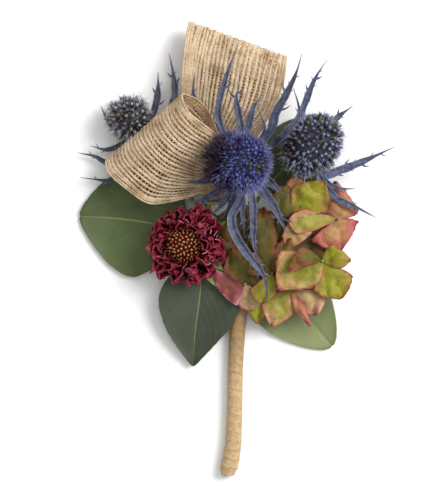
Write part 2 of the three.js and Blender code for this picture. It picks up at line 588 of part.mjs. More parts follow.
// Each layer is one frilled ring cut between its petals
const PETAL_LAYERS = [
  { petals: 11, root: 2.6, reach: 12.6, notch: 0.7, low: 0.9, high: 2.6, ripple: 0.7 },
  { petals: 10, root: 2.4, reach: 10.6, notch: 0.72, low: 1.9, high: 5.0, ripple: 0.6 },
  { petals: 9, root: 2.2, reach: 8.0, notch: 0.76, low: 2.7, high: 6.4, ripple: 0.45 },
];
const PETAL_COLUMNS = 4;         // across each petal of a frilled ring
const PETAL_ROWS = 2;
const DISC_RADIUS = 4.3;
const DISC_SEAT = 5.4;
const BUDS = 24;
const FINGER_WIDTH = 3;          // green bracts of the calyx
const FINGER_ROWS = 3;
const CALYX = [                  // turn in degrees, length and rise of each green bract
  { turn: 33, reach: 13.6, rise: -1.1 },
  { turn: 61, reach: 14.1, rise: 0.2 },
  { turn: 100, reach: 12.4, rise: -1.1 },
  { turn: 145, reach: 12.6, rise: -1.1 },
  { turn: 190, reach: 12.8, rise: -1.1 },
  { turn: 224, reach: 12.4, rise: -1.1 },
  { turn: 270, reach: 12.4, rise: -1.1 },
  { turn: 304, reach: 14.2, rise: -1.1 },
  { turn: 326, reach: 13.4, rise: -1.1 },
];

function scabiosaPlace() {
  const turn = new THREE.Quaternion().setFromUnitVectors(up, vec(SCABIOSA_AXIS).normalize());
  return new THREE.Matrix4().compose(vec(SCABIOSA_CENTRE), turn, new THREE.Vector3(1, 1, 1));
}

function frilledRing({ petals, root, reach, notch, low, high, ripple }, draw) {
  const columns = petals * PETAL_COLUMNS;
  const reaches = Array.from({ length: petals + 1 }, () => reach * (0.93 + 0.08 * draw()));
  const lifts = Array.from({ length: petals + 1 }, () => 0.9 * (draw() - 0.5));
  const rows = [];
  for (let r = 0; r <= PETAL_ROWS; r += 1) {
    const t = r / PETAL_ROWS;
    rows.push(Array.from({ length: columns }, (_, c) => {
      const each = Math.floor(c / PETAL_COLUMNS);
      const share = (c % PETAL_COLUMNS) / PETAL_COLUMNS;
      const lobe = notch + (1 - notch) * Math.sin(Math.PI * share) ** 0.5;
      const radius = THREE.MathUtils.lerp(root, reaches[each] * lobe, t);
      const angle = (2 * Math.PI * c) / columns;
      const frill = ripple * t * (c % 2 === 0 ? 1 : -1);
      return new THREE.Vector3(radius * Math.cos(angle), radius * Math.sin(angle),
        THREE.MathUtils.lerp(low, high + lifts[each], t ** 1.3) + frill);
    }));
  }
  return blade(rows, BLADE);
}

function scabiosaPetals() {
  const draw = seededDraw(71);
  const profile = [[0, 0], [3.0, 0], [4.0, 2.2], [3.6, 4.0], [0, DISC_SEAT - SEAT_GAP]];
  const core = new THREE.LatheGeometry(profile.map(([r, z]) => new THREE.Vector2(r, z)), 10)
    .rotateX(Math.PI / 2);
  const rings = PETAL_LAYERS.map((layer, i) => frilledRing(layer, draw).rotateZ(0.9 * i));
  return fuse([core, ...rings]).applyMatrix4(scabiosaPlace());
}

function scabiosaDisc() {
  const dome = new THREE.IcosahedronGeometry(DISC_RADIUS, 1).scale(1, 1, 0.62);
  const pieces = [dome];
  const golden = Math.PI * (3 - Math.sqrt(5));
  for (let i = 0; i < BUDS; i += 1) {
    const height = 1 - (0.86 * (i + 0.5)) / BUDS;
    const side = Math.sqrt(1 - height * height);
    const direction = new THREE.Vector3(side * Math.cos(golden * i),
      side * Math.sin(golden * i), height * 0.72);
    const bud = new THREE.OctahedronGeometry(0.72, 0);
    const seat = direction.multiplyScalar(DISC_RADIUS * 0.99);
    pieces.push(bud.translate(seat.x, seat.y, seat.z));
  }
  const whole = toSolid(fuse(pieces));
  const under = new THREE.BoxGeometry(20, 20, 10).translate(0, 0, -5);
  return toGeometry(soundBody(whole.subtract(toSolid(under)))).translate(0, 0, DISC_SEAT + SEAT_GAP)
    .applyMatrix4(scabiosaPlace());
}

function scabiosaStem() {
  const bloom = scabiosaPlace();
  const profile = [[0, -2.2], [0.9, -2.2], [2.6, -1.0], [2.9, -SEAT_GAP], [0, -SEAT_GAP]];
  const cup = new THREE.LatheGeometry(profile.map(([r, z]) => new THREE.Vector2(r, z)), 10)
    .rotateX(Math.PI / 2).applyMatrix4(bloom);
  const pieces = [cup];
  for (const { turn, reach, rise } of CALYX) {
    const angle = THREE.MathUtils.degToRad(turn);
    const at = (r, z) => new THREE.Vector3(r * Math.cos(angle), r * Math.sin(angle), z)
      .applyMatrix4(bloom);
    pieces.push(calyxFinger(at(1.6, -1.2), at(reach, rise), FINGER_WIDTH));
  }
  const from = new THREE.Vector3(0, 0, -1.8).applyMatrix4(bloom);
  pieces.push(stem([from.toArray(), [-12.4, 0.6, 7.0], [-8, 0.2, 6.8], [-2.5, -0.2, 6.4],
    [0.6, -2.2, 5.8], [1.3, -4.8, 5.2]], 150, 0.6));
  return fuse(pieces);
}

// The bow: each loop is a band ruled between its two selvedges, pinched at the tie

const RIBBON_LOOPS = {
  upper: {
    left: [[-8, 13.4, 6.8], [-8.8, 21, 6.5], [-11.4, 31, 6.6], [-14.6, 40, 7.2], [-15.9, 46.7, 8.2],
      [-15.8, 53.9, 9.6], [-15.2, 61.8, 9.8], [-13.7, 68.6, 6.4], [-14.2, 63.5, 1.8],
      [-14.6, 54, 0.6], [-13.6, 41, 0.9], [-10.4, 28, 3.4], [-8, 13.4, 5.5]],
    right: [[-2.8, 13.4, 6.8], [-2.2, 21, 7.2], [0.6, 30.2, 8.4], [5.7, 35.3, 10.0],
      [10.8, 39.8, 11.0], [14.0, 47.6, 11.6], [15.4, 54.6, 10.8], [15.7, 57.9, 7.4],
      [14.9, 54.4, 2.4], [13.4, 47, 0.9], [8, 36, 1.2], [1.4, 26, 3.4], [-2.8, 13.4, 5.5]],
  },
  left: {
    left: [[-8, 13.4, 9.4], [-9.6, 16.6, 10.2], [-14.8, 15.2, 11.4], [-21.9, 13.7, 12.4],
      [-26.7, 13.9, 12.6], [-33.3, 18.5, 11.6], [-38.2, 23.4, 9.4], [-38.9, 26.8, 7.6],
      [-36.6, 24.6, 6.4], [-29, 19.4, 5.8], [-19, 17.8, 6.0], [-10.6, 17.6, 7.4], [-8, 13.4, 8.1]],
    right: [[-2.8, 13.4, 9.4], [-3.4, 22, 10.8], [-4.4, 30.6, 12.6], [-5.9, 34.6, 14.8],
      [-9.9, 37.6, 18.6], [-13.2, 40.6, 20.4], [-15.4, 44.2, 20.6], [-15.3, 46.2, 18.8],
      [-11.4, 44.9, 16.2], [-7.4, 40.4, 14.2], [-4.9, 34.4, 12.2], [-3.6, 24, 9.6],
      [-2.8, 13.4, 8.1]],
  },
};
const RIBBON_STEPS = 28;
const RIBBON_COLUMNS = 3;

function ribbonLoop({ left, right }) {
  const edges = [left, right].map((side) => new THREE.CatmullRomCurve3(side.map(vec), false,
    'centripetal'));
  const rows = [];
  for (let r = 0; r <= RIBBON_STEPS; r += 1) {
    const t = r / RIBBON_STEPS;
    const [a, b] = edges.map((edge) => edge.getPoint(t));
    rows.push(Array.from({ length: RIBBON_COLUMNS + 1 }, (_, c) => mix(a, b, c / RIBBON_COLUMNS)));
  }
  return blade(rows, RIBBON_THICK);
}

const BOW_WIRE_JOIN = [-3.6, 8.4, 5.8];
const BOW_WIRE_PIN = [[-2.4, 11.8, 4.9], [-1.6, 14.4, 5.6], [-1.5, 14.6, 9.4], [-3.4, 14.6, 11.1],
  [-7.4, 14.6, 11.2], [-9.7, 14.6, 9.6], [-9.7, 14.4, 6.4], [-6.8, 11.0, 5.8]];
const BOW_WIRE_LEG = [BOW_WIRE_JOIN, [-0.6, 4.8, 5.6], [1.8, 0, 5.1], [2.4, -4.5, 4.6]];
const BOW_WIRE_END = -40;

function bowWire() {
  const leg = [...BOW_WIRE_LEG, ...boundRun(0, 0, BOW_WIRE_END)];
  return fuse([
    tube([BOW_WIRE_JOIN, ...BOW_WIRE_PIN, BOW_WIRE_JOIN], () => WIRE_RADIUS, 5, 22),
    tube(leg, () => WIRE_RADIUS, 5, 12),
  ]);
}

// Assembly

const boutonniere = new THREE.Group();
boutonniere.name = 'boutonniere';
boutonniere.position.set(-BODY_CENTRE[0], -BODY_CENTRE[1], 0);

function place(name, geometry, colour, roughness) {
  geometry.computeVertexNormals();
  const material = new THREE.MeshStandardMaterial({ color: colour, roughness, metalness: 0 });
  const mesh = new THREE.Mesh(geometry, material);
  mesh.name = name;
  boutonniere.add(mesh);
}

place('stem_wrap', stemWrap(), COLOUR.tape, 0.85);
place('eucalyptus_sprig', eucalyptusSprig(), COLOUR.leaf, 0.7);
for (const flower of SEA_HOLLIES) {
  place(`sea_holly_${flower.name}_head`, seaHollyHead(flower), COLOUR[flower.head], 0.6);
  place(`sea_holly_${flower.name}_ruff`, seaHollyRuff(flower), COLOUR[flower.ruff], 0.55);
}
place('scabiosa_petals', scabiosaPetals(), COLOUR.burgundy, 0.5);
place('scabiosa_disc', scabiosaDisc(), COLOUR.bud, 0.6);
place('scabiosa_stem', scabiosaStem(), COLOUR.green, 0.6);
place('hydrangea_cluster', hydrangea(), COLOUR.sepal, 0.6);
for (const [name, edges] of Object.entries(RIBBON_LOOPS)) {
  place(`ribbon_loop_${name}`, ribbonLoop(edges), COLOUR.jute, 0.9);
}
place('bow_wire', bowWire(), COLOUR.wire, 0.5);

export default boutonniere;
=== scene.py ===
"""Dresses the boutonniere: three sea hollies, a scabiosa, a hydrangea cluster and a
eucalyptus sprig in front of a bow of jute ribbon, bound with tan tape. It lies on its back.
Places are in millimetres, as measured on the arrangement, and each piece is brought to
metres in the frame's own place when it is finished."""
import math
import random

import bpy
import numpy as np
from bpy.props import FloatProperty, FloatVectorProperty, IntProperty, PointerProperty
from mathutils import Matrix, Quaternion, Vector, noise


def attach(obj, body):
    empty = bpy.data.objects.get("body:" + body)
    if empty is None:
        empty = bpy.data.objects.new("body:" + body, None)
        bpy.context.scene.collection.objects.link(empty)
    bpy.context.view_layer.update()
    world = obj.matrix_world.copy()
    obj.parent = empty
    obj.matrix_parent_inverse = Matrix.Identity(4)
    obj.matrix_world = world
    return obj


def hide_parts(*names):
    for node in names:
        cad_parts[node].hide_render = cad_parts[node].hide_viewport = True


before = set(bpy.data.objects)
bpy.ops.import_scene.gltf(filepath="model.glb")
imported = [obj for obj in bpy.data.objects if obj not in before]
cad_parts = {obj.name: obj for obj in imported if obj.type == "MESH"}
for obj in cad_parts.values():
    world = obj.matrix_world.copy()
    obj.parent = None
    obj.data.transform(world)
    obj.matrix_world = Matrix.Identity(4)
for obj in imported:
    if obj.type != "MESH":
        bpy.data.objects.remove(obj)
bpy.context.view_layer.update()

bl_info = {
    "name": "Boutonniere",
    "version": (1, 0, 0),
    "blender": (4, 5, 0),
    "location": "View3D > Sidebar > Boutonniere",
    "description": "Builds the flowers, leaves, bow and tape of a boutonniere",
    "category": "Object",
}

MM = 0.001
OUTLINE_MIDDLE = Vector((0.1, 0.0, 0.0))     # moved onto the origin, as in the solids
UP = Vector((0, 0, 1))
GOLDEN_ANGLE = math.pi * (3 - math.sqrt(5))
TAPE_SEED, SEPAL_SEED, SCABIOSA_SEED = 3, 5, 71

# Camera: straight down from 0.8 m, with the picture's frame on the flowers' middle height
CAMERA_HEIGHT = 0.8
FRAME_HEIGHT = 0.150                         # what 500 picture rows span
FRAME_MIDDLE = (-0.00385, -0.00015)
FLOWER_HEIGHT = 0.010

# Floor and light, in metres and watts; each lamp is its name, place, size and power
FLOOR_SIZE = 6
AIR_STRENGTH = 0.56
LAMPS = [
    ("softbox_right", (0.62, 0.34, 0.78), 0.55, 11.0),
    ("softbox_over", (0.1, 0.2, 1.1), 0.7, 2.0),
]

# Thickness of the sheets
LEAF_THICK = 0.5
BRACT_THICK = 0.4
SEPAL_THICK = 0.34
PETAL_THICK = 0.26

# Stems and tape: the laps lie tight above one place and stand out more below it, and the upper
# part gets painted shade, a little browner, for the shade that the flowers and leaves cast on it
STEM_RADIUS = 0.42                           # where the stems are bound
THIN_STEM, HOLLY_STEM = 0.6, 0.75            # half thickness at the flowers
PETIOLE_RADIUS = 0.46
PEDICEL_RADIUS = 0.42
BUNDLE_RADIUS = 1.12
STEM_END = -63.2
TAPE_SIDES = 48
TAPE_STEP = 0.26
TAPE_LAP = 0.2                               # how far a lap stands out
TAPE_CREPE = 0.04
TAPE_TIGHT = -38
# Where the painted shade on the upper tape starts and where it is full
SHADE_BOTTOM, SHADE_TOP = -0.042, -0.026     # in metres, as the material sees them
WRAP_STATIONS = [                            # y, x, z, outer radius
    (-3.8, 2.4, 4.6, 3.2),
    (-9, 2.2, 3.9, 2.95),
    (-13, 1.95, 3.3, 2.55),
    (-19, 1.35, 2.8, 2.4),
    (-24.2, 0.75, 2.6, 2.35),
    (-37.1, 0.1, 2.45, 2.3),
    (-49.7, -0.1, 2.45, 2.3),
    (-58.1, -0.4, 2.5, 2.35),
    (-63.2, -1.2, 2.45, 2.6),
    (-66.2, -1.8, 2.45, 2.65),
    (-68.3, -2.1, 2.5, 1.9),
]

# Eucalyptus: each leaf's half width and shape, its middle line and its petiole
LEAF_LOWEST = 0.28
LEAVES = [
    {"name": "left", "tone": "#4b5930", "half": 17, "rise": 0.85, "round": 0.7, "cup": 0.03,
     "axis": [(-15, 4.6, 2.5), (-26, 8.0, 1.3), (-38, 9.6, 0.4), (-47.1, 10.1, 1.0)],
     "petiole": [(2.4, 2.4, 2.4), (-4, 3.2, 2.3), (-11, 3.8, 2.4), (-17, 5.2, 2.4)]},
    {"name": "lower", "tone": "#3c4434", "half": 12.2, "rise": 0.72, "round": 0.95, "cup": 0.11,
     "axis": [(-9.9, -3.2, 5.9), (-10.6, -14, 5.5), (-12, -25, 4.0), (-12.6, -35.4, 2.0)],
     "petiole": [(2.5, 3.8, 2.3), (-3.5, 4.6, 2.4), (-8.6, 2.4, 3.9), (-9.9, -1.8, 5.5), (-10.1, -6, 5.8)]},
    {"name": "right", "tone": "#737c50", "half": 11.9, "rise": 0.6, "round": 0.6, "cup": 0.09,
     "axis": [(9.2, -7.2, 2.2), (15.4, -13.8, 1.4), (22.3, -21.3, 0.45), (29.6, -29.4, 0.6)],
     "petiole": [(2.6, 3.2, 2.3), (7, 1.6, 2.3), (9.4, -3, 2.3), (10.8, -9.8, 2.1)]},
    {"name": "back", "tone": "#3c4a2a", "half": 11.0, "rise": 0.72, "round": 0.52, "cup": 0.07,
     "axis": [(9.5, 18.9, 2.1), (16.5, 26.1, 1.3), (24.2, 33.9, 0.35), (29.8, 39.2, 0.8)],
     "petiole": [(4.0, 10.0, 2.1), (6.6, 14.6, 2.2), (11.5, 21, 2.3)]},
]
TWIG = [(7.2, 15.4, 2.3), (4.4, 10.6, 2.1), (2.6, 4, 2.3), (2.4, -1, 2.9), (2.3, -5, 3.1)]

# Sea hollies: core and reach are the cone's and the bristles' radius, shaded_shaggy is the side where
# the florets grow long and get painted shade, long is the way of an oval head, and bound is the stem's
# place in the bundle in degrees. Each bract is (path, width, large teeth as (share, side, length)).
# Colours: cups, tops and tips of the florets, and blade and root of the bracts, where None stands
# for the colour in the settings.
SEA_HOLLIES = [
    {
        "name": "centre", "seed": 11, "centre": (1.5, 25.4, 23), "axis": (0.03, 0.06, 1),
        "core": 7.2, "reach": 9.9, "florets": 310, "bristles": 5, "shaded_shaggy": (-1.0, 0.1, -0.1),
        "head_slot": "holly_violet", "head_colours": (None, "#5e66a6", "#b0b4e0"), "flecks": 0.1,
        "ruff_slot": "holly_steel", "bract_colours": (None, "#383d66"),
        "stem": [(1.9, 22.5, 12.2), (2.2, 15, 8.8), (2.4, 5, 7.0), (2.4, -3.4, 6.1)], "bound": 90,
        "bracts": [
            ([(-3.9, 35.6, 17.2), (-5.1, 40.4, 17.8), (-3.9, 47, 18.2), (-1.4, 55, 18.6), (0.9, 60.8, 18)],
             1.9, [(0.62, 1, 2.4), (0.4, -1, 1.6)]),
            ([(1.8, 35.3, 16.6), (1.2, 39.5, 17), (0.3, 45.2, 17.6), (1.5, 49.1, 17.4)],
             2.6, [(0.8, -1, 2.6), (0.88, 1, 1.6)]),
            ([(3.6, 35.3, 16.4), (5.4, 41.9, 17), (7.8, 45.9, 16.6)], 2.3, []),
            ([(8.7, 35.6, 16.6), (6.9, 41.6, 17.6)], 1.3, []),
            ([(10.5, 35.6, 16.4), (12, 40.4, 17.2), (14.7, 45.2, 18.4), (18, 52.1, 19.4), (19.8, 58.1, 19)],
             2.7, [(0.66, -1, 2.6), (0.5, 1, 3.0)]),
            ([(10.8, 31, 17.2), (14.9, 34.6, 21.6), (18.8, 40, 22), (17.4, 47.9, 19)], 1.7, []),
            ([(1.8, 15.5, 15.6), (-1.1, 9.5, 16.2), (0, 4.4, 16.6), (3.9, -1.7, 16.8),
              (7.9, -6.6, 16.4), (9.4, -11, 15.6), (9, -17.3, 14.6)],
             2.7, [(0.3, -1, 2.2), (0.72, 1, 2.6), (0.7, -1, 1.6)]),
            ([(5.1, 15.2, 15.4), (5.4, 7.5, 15.2), (5.6, 2, 15.0), (7.4, -5.0, 15.2)],
             2.4, [(0.55, 1, 1.8), (0.3, 1, 1.6)]),
            ([(2.4, 14.5, 14.8), (2.1, 11.2, 14.6), (3, 3.5, 13.8)], 1.4, []),
            ([(8.4, 17, 15.8), (12, 11.9, 16.6), (14.1, 7.5, 17.2), (15.6, 4.7, 17.0)],
             2.9, [(0.78, -1, 2.3)]),
            ([(10.4, 19.9, 15.8), (14.6, 16.0, 16.4)], 2.8, []),
            ([(-4.8, 17.6, 15.4), (-9, 15.4, 15.2), (-13.5, 13.7, 15.4)], 2.4, [(0.7, -1, 1.6)]),
            ([(-2.1, 15.8, 14.6), (-4.6, 12.6, 14.2), (-7.2, 10.1, 14.4)],
             2.2, [(0.6, 1, 1.9), (0.8, -1, 1.4)]),
            ([(-7.7, 20.9, 15.6), (-11, 20.2, 15.8), (-14.1, 20, 15.4)], 2.7, []),
            ([(-0.4, 15.4, 14.2), (-2.2, 11.6, 13.4), (-4.6, 8.6, 13.6)], 1.8, []),
            # Passes between the two ribbon loops, and only its end shows
            ([(-4, 34, 10.6), (-8, 38.5, 10.9), (-11.2, 42.5, 11.3), (-12.5, 46.5, 11.7),
              (-12.1, 52.6, 12.2)], 3.0, []),
        ],
    },
    {
        "name": "right", "seed": 23, "centre": (22.9, 31.2, 15.6), "axis": (0.2, 0.14, 0.97),
        "core": 7.0, "reach": 10.2, "florets": 205, "bristles": 2, "long": (0.69, 0.72),
        "head_slot": "holly_slate", "head_colours": ("#585e74", "#848aa4", "#e0e2ee"), "flecks": 0.12,
        "ruff_slot": "holly_slate", "bract_colours": ("#4f5670", "#3c4264"),
        "stem": [(20.6, 29, 6.0), (17, 21, 5.4), (9.4, 8.6, 4.9), (4.9, 0.4, 4.4), (3.9, -3.6, 4.1)],
        "bound": -30,
        "bracts": [
            ([(20.1, 41, 9.5), (21.3, 44.6, 10.5), (24, 51.2, 12), (27.6, 56.9, 12.4)],
             2.0, [(0.6, -1, 1.8), (0.75, 1, 1.6)]),
            ([(30.6, 39.5, 9.2), (35.4, 43.1, 10.4)], 2.2, [(0.7, -1, 1.6)]),
            ([(26.5, 22.6, 8.6), (31.8, 23.9, 9.2), (38.1, 26.3, 10.2), (47.9, 30.8, 11)],
             2.4, [(0.62, 1, 2.2), (0.48, -1, 2.2), (0.36, 1, 1.8)]),
            ([(27.4, 20.2, 9.2), (31, 18.4, 10.2), (36, 18.2, 10.6)], 1.9, []),
            ([(27.6, 18.0, 9.8), (31.8, 14.6, 10.8), (36, 12.8, 11.4), (42.3, 9.5, 11.6)],
             2.2, [(0.74, 1, 2.0)]),
        ],
    },
    {
        "name": "left", "seed": 37, "centre": (-31.9, 39.5, 7.25), "axis": (-0.3, 0.52, 0.8),
        "core": 4.7, "reach": 7.8, "florets": 100, "bristles": 3,
        "head_slot": "holly_slate", "head_colours": ("#7c8088", "#a2a4b2", "#dcdde6"), "flecks": 0.12,
        "ruff_slot": "holly_slate", "bract_colours": ("#3e4148", "#3a3b46"),
        "stem": [(-28.6, 33.0, 3.6), (-21, 24.5, 3.7), (-10.5, 12.4, 4.2), (-2.2, 3.4, 4.4),
                 (0.9, -3.2, 4.1)],
        "bound": 210,
        "bracts": [
            ([(-25.4, 39.6, 6.2), (-23.3, 46, 8.4), (-23.1, 53.3, 9.4)],
             2.3, [(0.66, -1, 1.8), (0.52, 1, 2.2)]),
            ([(-22.5, 37.6, 5.2), (-18.3, 45.5, 6.6), (-18.6, 52.7, 8.0), (-19.8, 59, 8.2)],
             2.3, [(0.7, 1, 1.8), (0.74, -1, 1.6)]),
            ([(-35.6, 36.2, 1.9), (-38.8, 39.6, 3.2), (-40.5, 43.4, 4.6)], 1.4, []),
            ([(-33.5, 32.4, 4.4), (-38.5, 30.2, 3.6), (-43.8, 31.4, 3.8)], 1.5, []),
            ([(-32, 29.4, 3.4), (-39.2, 26.6, 2.8), (-42.4, 28.2, 3.0), (-47.7, 29.3, 3.2)], 1.7, []),
            ([(-31.4, 27.4, 3.7), (-37.2, 21.0, 4.1), (-42, 21.2, 3.6), (-46.8, 21.8, 3.6)], 1.5, []),
        ],
    },
]
DOME_RISE = 1.06
FLORET_REACH = 3.1                           # of one floret before it is scaled
SPINE_LENGTH = 1.5                           # what is longer on a bract is a large tooth
SPINE_RADIUS, TOOTH_RADIUS = 0.26, 0.42
HEAD_LENGTH = 1.16                           # of an oval head, against a round one
HEAD_BREADTH = 0.93

# Hydrangea: each floret is its centre and its sepals as (left shoulder, tip, right shoulder, tone)
HYDRANGEA_HUB = (12, -1, 6.6)
HYDRANGEA_STALK = [(7.6, -0.4, 6.2), (5.0, -1.6, 5.7), (3.8, -4.8, 5.0)]
SEPAL_CORNER = 0.45                          # how sharply an edge bends at the shoulders
SEPAL_DOME = 0.5
SEPAL_CRUMPLE = 0.45
SEPAL_TONES = {                              # middle, outer part, very edge
    "lime": ("#8a8c1e", "#9a8434", "#843a34"),
    # Shaded olive is a dull olive green made dark, painted shade for sepals that lie under the bracts and
    # heads
    "shaded_olive": ("#4e4c16", "#6c5020", "#6e3426"),
    "blush": ("#96903c", "#b8846a", "#964246"),
    "rose": ("#aa8254", "#b2625c", "#90363e"),
    "mauve": ("#b0986a", "#b88c78", "#8a4a4c"),
    "cream": ("#7a7c1a", "#b0905a", "#963c38"),
    "wine": ("#5a5818", "#784a26", "#7a2c2a"),
    "plum": ("#82483e", "#a05060", "#b48c86"),
}
FLORETS = [
    ((17.6, 10, 12), [
        ((17.1, 18.8, 13.4), (26.7, 20.6, 13.6), (28.2, 11.6, 13.2), "lime"),
        ((11, 10.5, 12.2), (12.3, 18.4, 12.8), (17, 18.4, 12.6), "shaded_olive"),
        ((23.1, 5.2, 12.6), (15.9, -0.2, 12.6), (14.1, 4.6, 12.2), "blush"),
        ((15.5, 19.5, 12.2), (17.5, 21.6, 12.4), (20.8, 19.8, 12.4), "rose")]),
    ((30.9, 9.1, 10.6), [
        ((19.5, 4.4, 13.2), (15.9, 8.6, 13.6), (20.4, 12.2, 13.8), "blush"),
        ((37, 8.2, 9.4), (31.5, -0.9, 9), (23.1, 2.9, 9.8), "rose"),
        ((25.5, 13.4, 8), (30.3, 20.9, 7.6), (37.2, 11.4, 8.8), "rose"),
        ((21, 4, 8.6), (19.5, 10.5, 8.4), (23, 14.5, 8.2), "shaded_olive")]),
    ((26.1, -3.5, 12.6), [
        ((24.9, -10.7, 13.2), (12.6, -12.2, 15.2), (13.5, -0.2, 16), "cream"),
        ((22, -4.6, 16.6), (15.6, -6.8, 18.4), (19.5, 0.8, 18), "wine"),
        ((35.2, -8, 12.2), (31.8, -14.9, 12), (23.7, -12.5, 12.2), "lime"),
        ((28.8, 1.8, 13.8), (34.8, -3.2, 13.6), (31, -5.8, 13.4), "lime")]),
    ((16.8, -12.2, 10), [
        ((27.6, -13, 10), (24.3, -20, 9.6), (18.3, -17.3, 9.6), "mauve"),
        ((20.4, -16, 11.2), (22.8, -23.3, 10.4), (17.7, -17.9, 11), "rose"),
        ((17.7, -19.4, 9.4), (10.8, -23.3, 8.6), (8.1, -14.9, 9.4), "blush"),
        ((12, -7, 9.4), (17, -2, 9.6), (21.6, -7, 9.6), "shaded_olive")]),
    ((3, -10.4, 10), [
        ((0.3, -16.7, 9), (-6.3, -10.4, 8.6), (-5.7, -6.2, 8.8), "plum"),
        ((9.3, -14, 9.6), (5.1, -18.5, 8.8), (0.9, -16.7, 8.8), "mauve"),
        ((-3.2, -6.4, 11.4), (-0.9, 0.8, 11.2), (8, -3.5, 11), "shaded_olive"),
        ((9.9, -17.6, 8.4), (6.6, -22.4, 8), (3.6, -18.2, 8), "lime")]),
    ((11.1, -7.1, 12), [
        ((4, 3.5, 12.2), (8.6, 13, 12.4), (12.6, 4.5, 12.6), "shaded_olive"),
        ((12.3, 1.1, 12.6), (16.8, 3.5, 12.6), (17.1, -3.8, 12.2), "wine"),
        ((12.6, -12.8, 12), (8.1, -16.4, 11.4), (4.4, -12.2, 11.4), "lime"),
        ((5.1, -7.7, 12), (0.9, -3.8, 12), (5.1, -0.8, 12.2), "shaded_olive")]),
    # The last three florets have only shaded olive sepals, which are painted shade
    ((4.2, 4.7, 10.2), [
        ((-1.6, 1.8, 9), (-6.4, 8, 8.6), (-1.8, 12.2, 9.2), "shaded_olive"),
        ((-1.6, 9, 10.8), (1.2, 14, 11.2), (7, 11, 11.2), "shaded_olive"),
        ((7, 12, 10.8), (10.6, 11, 10.8), (11.5, 4.2, 10.4), "shaded_olive"),
        ((10.5, 1.5, 9.8), (8.8, -4.6, 9.6), (2.2, -2.4, 9.6), "shaded_olive")]),
    ((20, -1, 7.2), [
        ((30.4, -1.6, 6.4), (30.4, -9, 6.2), (23, -9.5, 6.2), "shaded_olive"),
        ((18.5, 7, 6.6), (27.5, 9, 6.4), (29.4, -0.6, 6.4), "shaded_olive"),
        ((17, -8.5, 6.4), (11.5, -8.5, 6.4), (11.2, -2.4, 7), "shaded_olive"),
        ((10.5, 1.5, 8.2), (10.5, 8.5, 8.8), (17.5, 10, 8.6), "shaded_olive")]),
    ((4.6, -2.6, 8.8), [
        ((-3.6, -5.2, 8.4), (-6.2, -0.4, 8.4), (-2.6, 3.4, 8.5), "shaded_olive"),
        ((9.5, -6, 8.8), (9.5, -12.5, 9), (3.2, -9, 9), "shaded_olive"),
        ((6.5, 3.5, 8.5), (11.5, 2, 8.4), (10.8, -3.4, 8.4), "shaded_olive"),
        ((2.6, -8.2, 8.6), (-1.5, -8.2, 8.6), (-3.2, -4.6, 8.4), "shaded_olive")]),
]

# Scabiosa, in its own place: rings of petals from the lowest to the highest, each as count, root,
# reach, width, low, high and curl
SCABIOSA_CENTRE = (-14.2, 1.1, 9.2)
SCABIOSA_AXIS = (-0.2, 0.02, 1)
PETAL_RINGS = [
    (16, 3.0, 12.8, 6.2, 1.0, 1.8, 1.1),
    (16, 3.0, 11.9, 5.4, 1.8, 3.2, 1.5),
    (15, 3.2, 10.6, 4.6, 2.6, 4.6, 1.7),
    (14, 3.6, 9.2, 4.0, 3.6, 5.8, 1.6),
    (13, 4.2, 7.7, 3.2, 4.6, 6.6, 1.2),
]
PETAL_CRINKLE = 1.7
DISC_BUDS = 120
DISC_RADIUS = 4.3
DISC_SEAT = 5.7
CALYX = [                                    # turn in degrees, length, rise and width of each bract
    (33, 13.6, -1.1, 3.0), (61, 14.1, 0.2, 5.0), (100, 12.4, -1.1, 3.0), (145, 12.6, -1.1, 3.0),
    (190, 12.8, -1.1, 3.0), (224, 12.4, -1.1, 3.0), (270, 12.4, -1.1, 3.0), (304, 14.2, -1.1, 3.0),
    (326, 13.4, -1.1, 3.0),
]
SCABIOSA_STEM = [(-12.4, 0.6, 7.0), (-8, 0.2, 6.8), (-2.5, -0.2, 6.4), (0.6, -2.2, 5.8), (1.3, -4.8, 5.2)]

# The bow: the two selvedges of each loop, from the tie round and back to the tie
RIBBON_LOOPS = {
    "upper": (
        [(-8, 13.4, 6.8), (-8.8, 21, 6.5), (-11.4, 31, 6.6), (-14.6, 40, 7.2), (-15.9, 46.7, 8.2),
         (-15.8, 53.9, 9.6), (-15.2, 61.8, 9.8), (-13.7, 68.6, 6.4), (-14.2, 63.5, 1.8),
         (-14.6, 54, 0.6), (-13.6, 41, 0.9), (-10.4, 28, 3.4), (-8, 13.4, 5.5)],
        [(-2.8, 13.4, 6.8), (-2.2, 21, 7.2), (0.6, 30.2, 8.4), (5.7, 35.3, 10.0),
         (10.8, 39.8, 11.0), (14.0, 47.6, 11.6), (15.4, 54.6, 10.8), (15.7, 57.9, 7.4),
         (14.9, 54.4, 2.4), (13.4, 47, 0.9), (8, 36, 1.2), (1.4, 26, 3.4), (-2.8, 13.4, 5.5)],
    ),
    "left": (
        [(-8, 13.4, 9.4), (-9.6, 16.6, 10.2), (-14.8, 15.2, 11.4), (-21.9, 13.7, 12.4),
         (-26.7, 13.9, 12.6), (-33.3, 18.5, 11.6), (-38.2, 23.4, 9.4), (-38.9, 26.8, 7.6),
         (-36.6, 24.6, 6.4), (-29, 19.4, 5.8), (-19, 17.8, 6.0), (-10.6, 17.6, 7.4), (-8, 13.4, 8.1)],
        [(-2.8, 13.4, 9.4), (-3.4, 22, 10.8), (-4.4, 30.6, 12.6), (-5.9, 34.6, 14.8),
         (-9.9, 37.6, 18.6), (-13.2, 40.6, 20.4), (-15.4, 44.2, 20.6), (-15.3, 46.2, 18.8),
         (-11.4, 44.9, 16.2), (-7.4, 40.4, 14.2), (-4.9, 34.4, 12.2), (-3.6, 24, 9.6),
         (-2.8, 13.4, 8.1)],
    ),
}
RIBBON_WIDTH = 32.0
RIBBON_STEPS = 200
FOLD_STEPS = (88, 112)                       # where the ribbon turns back
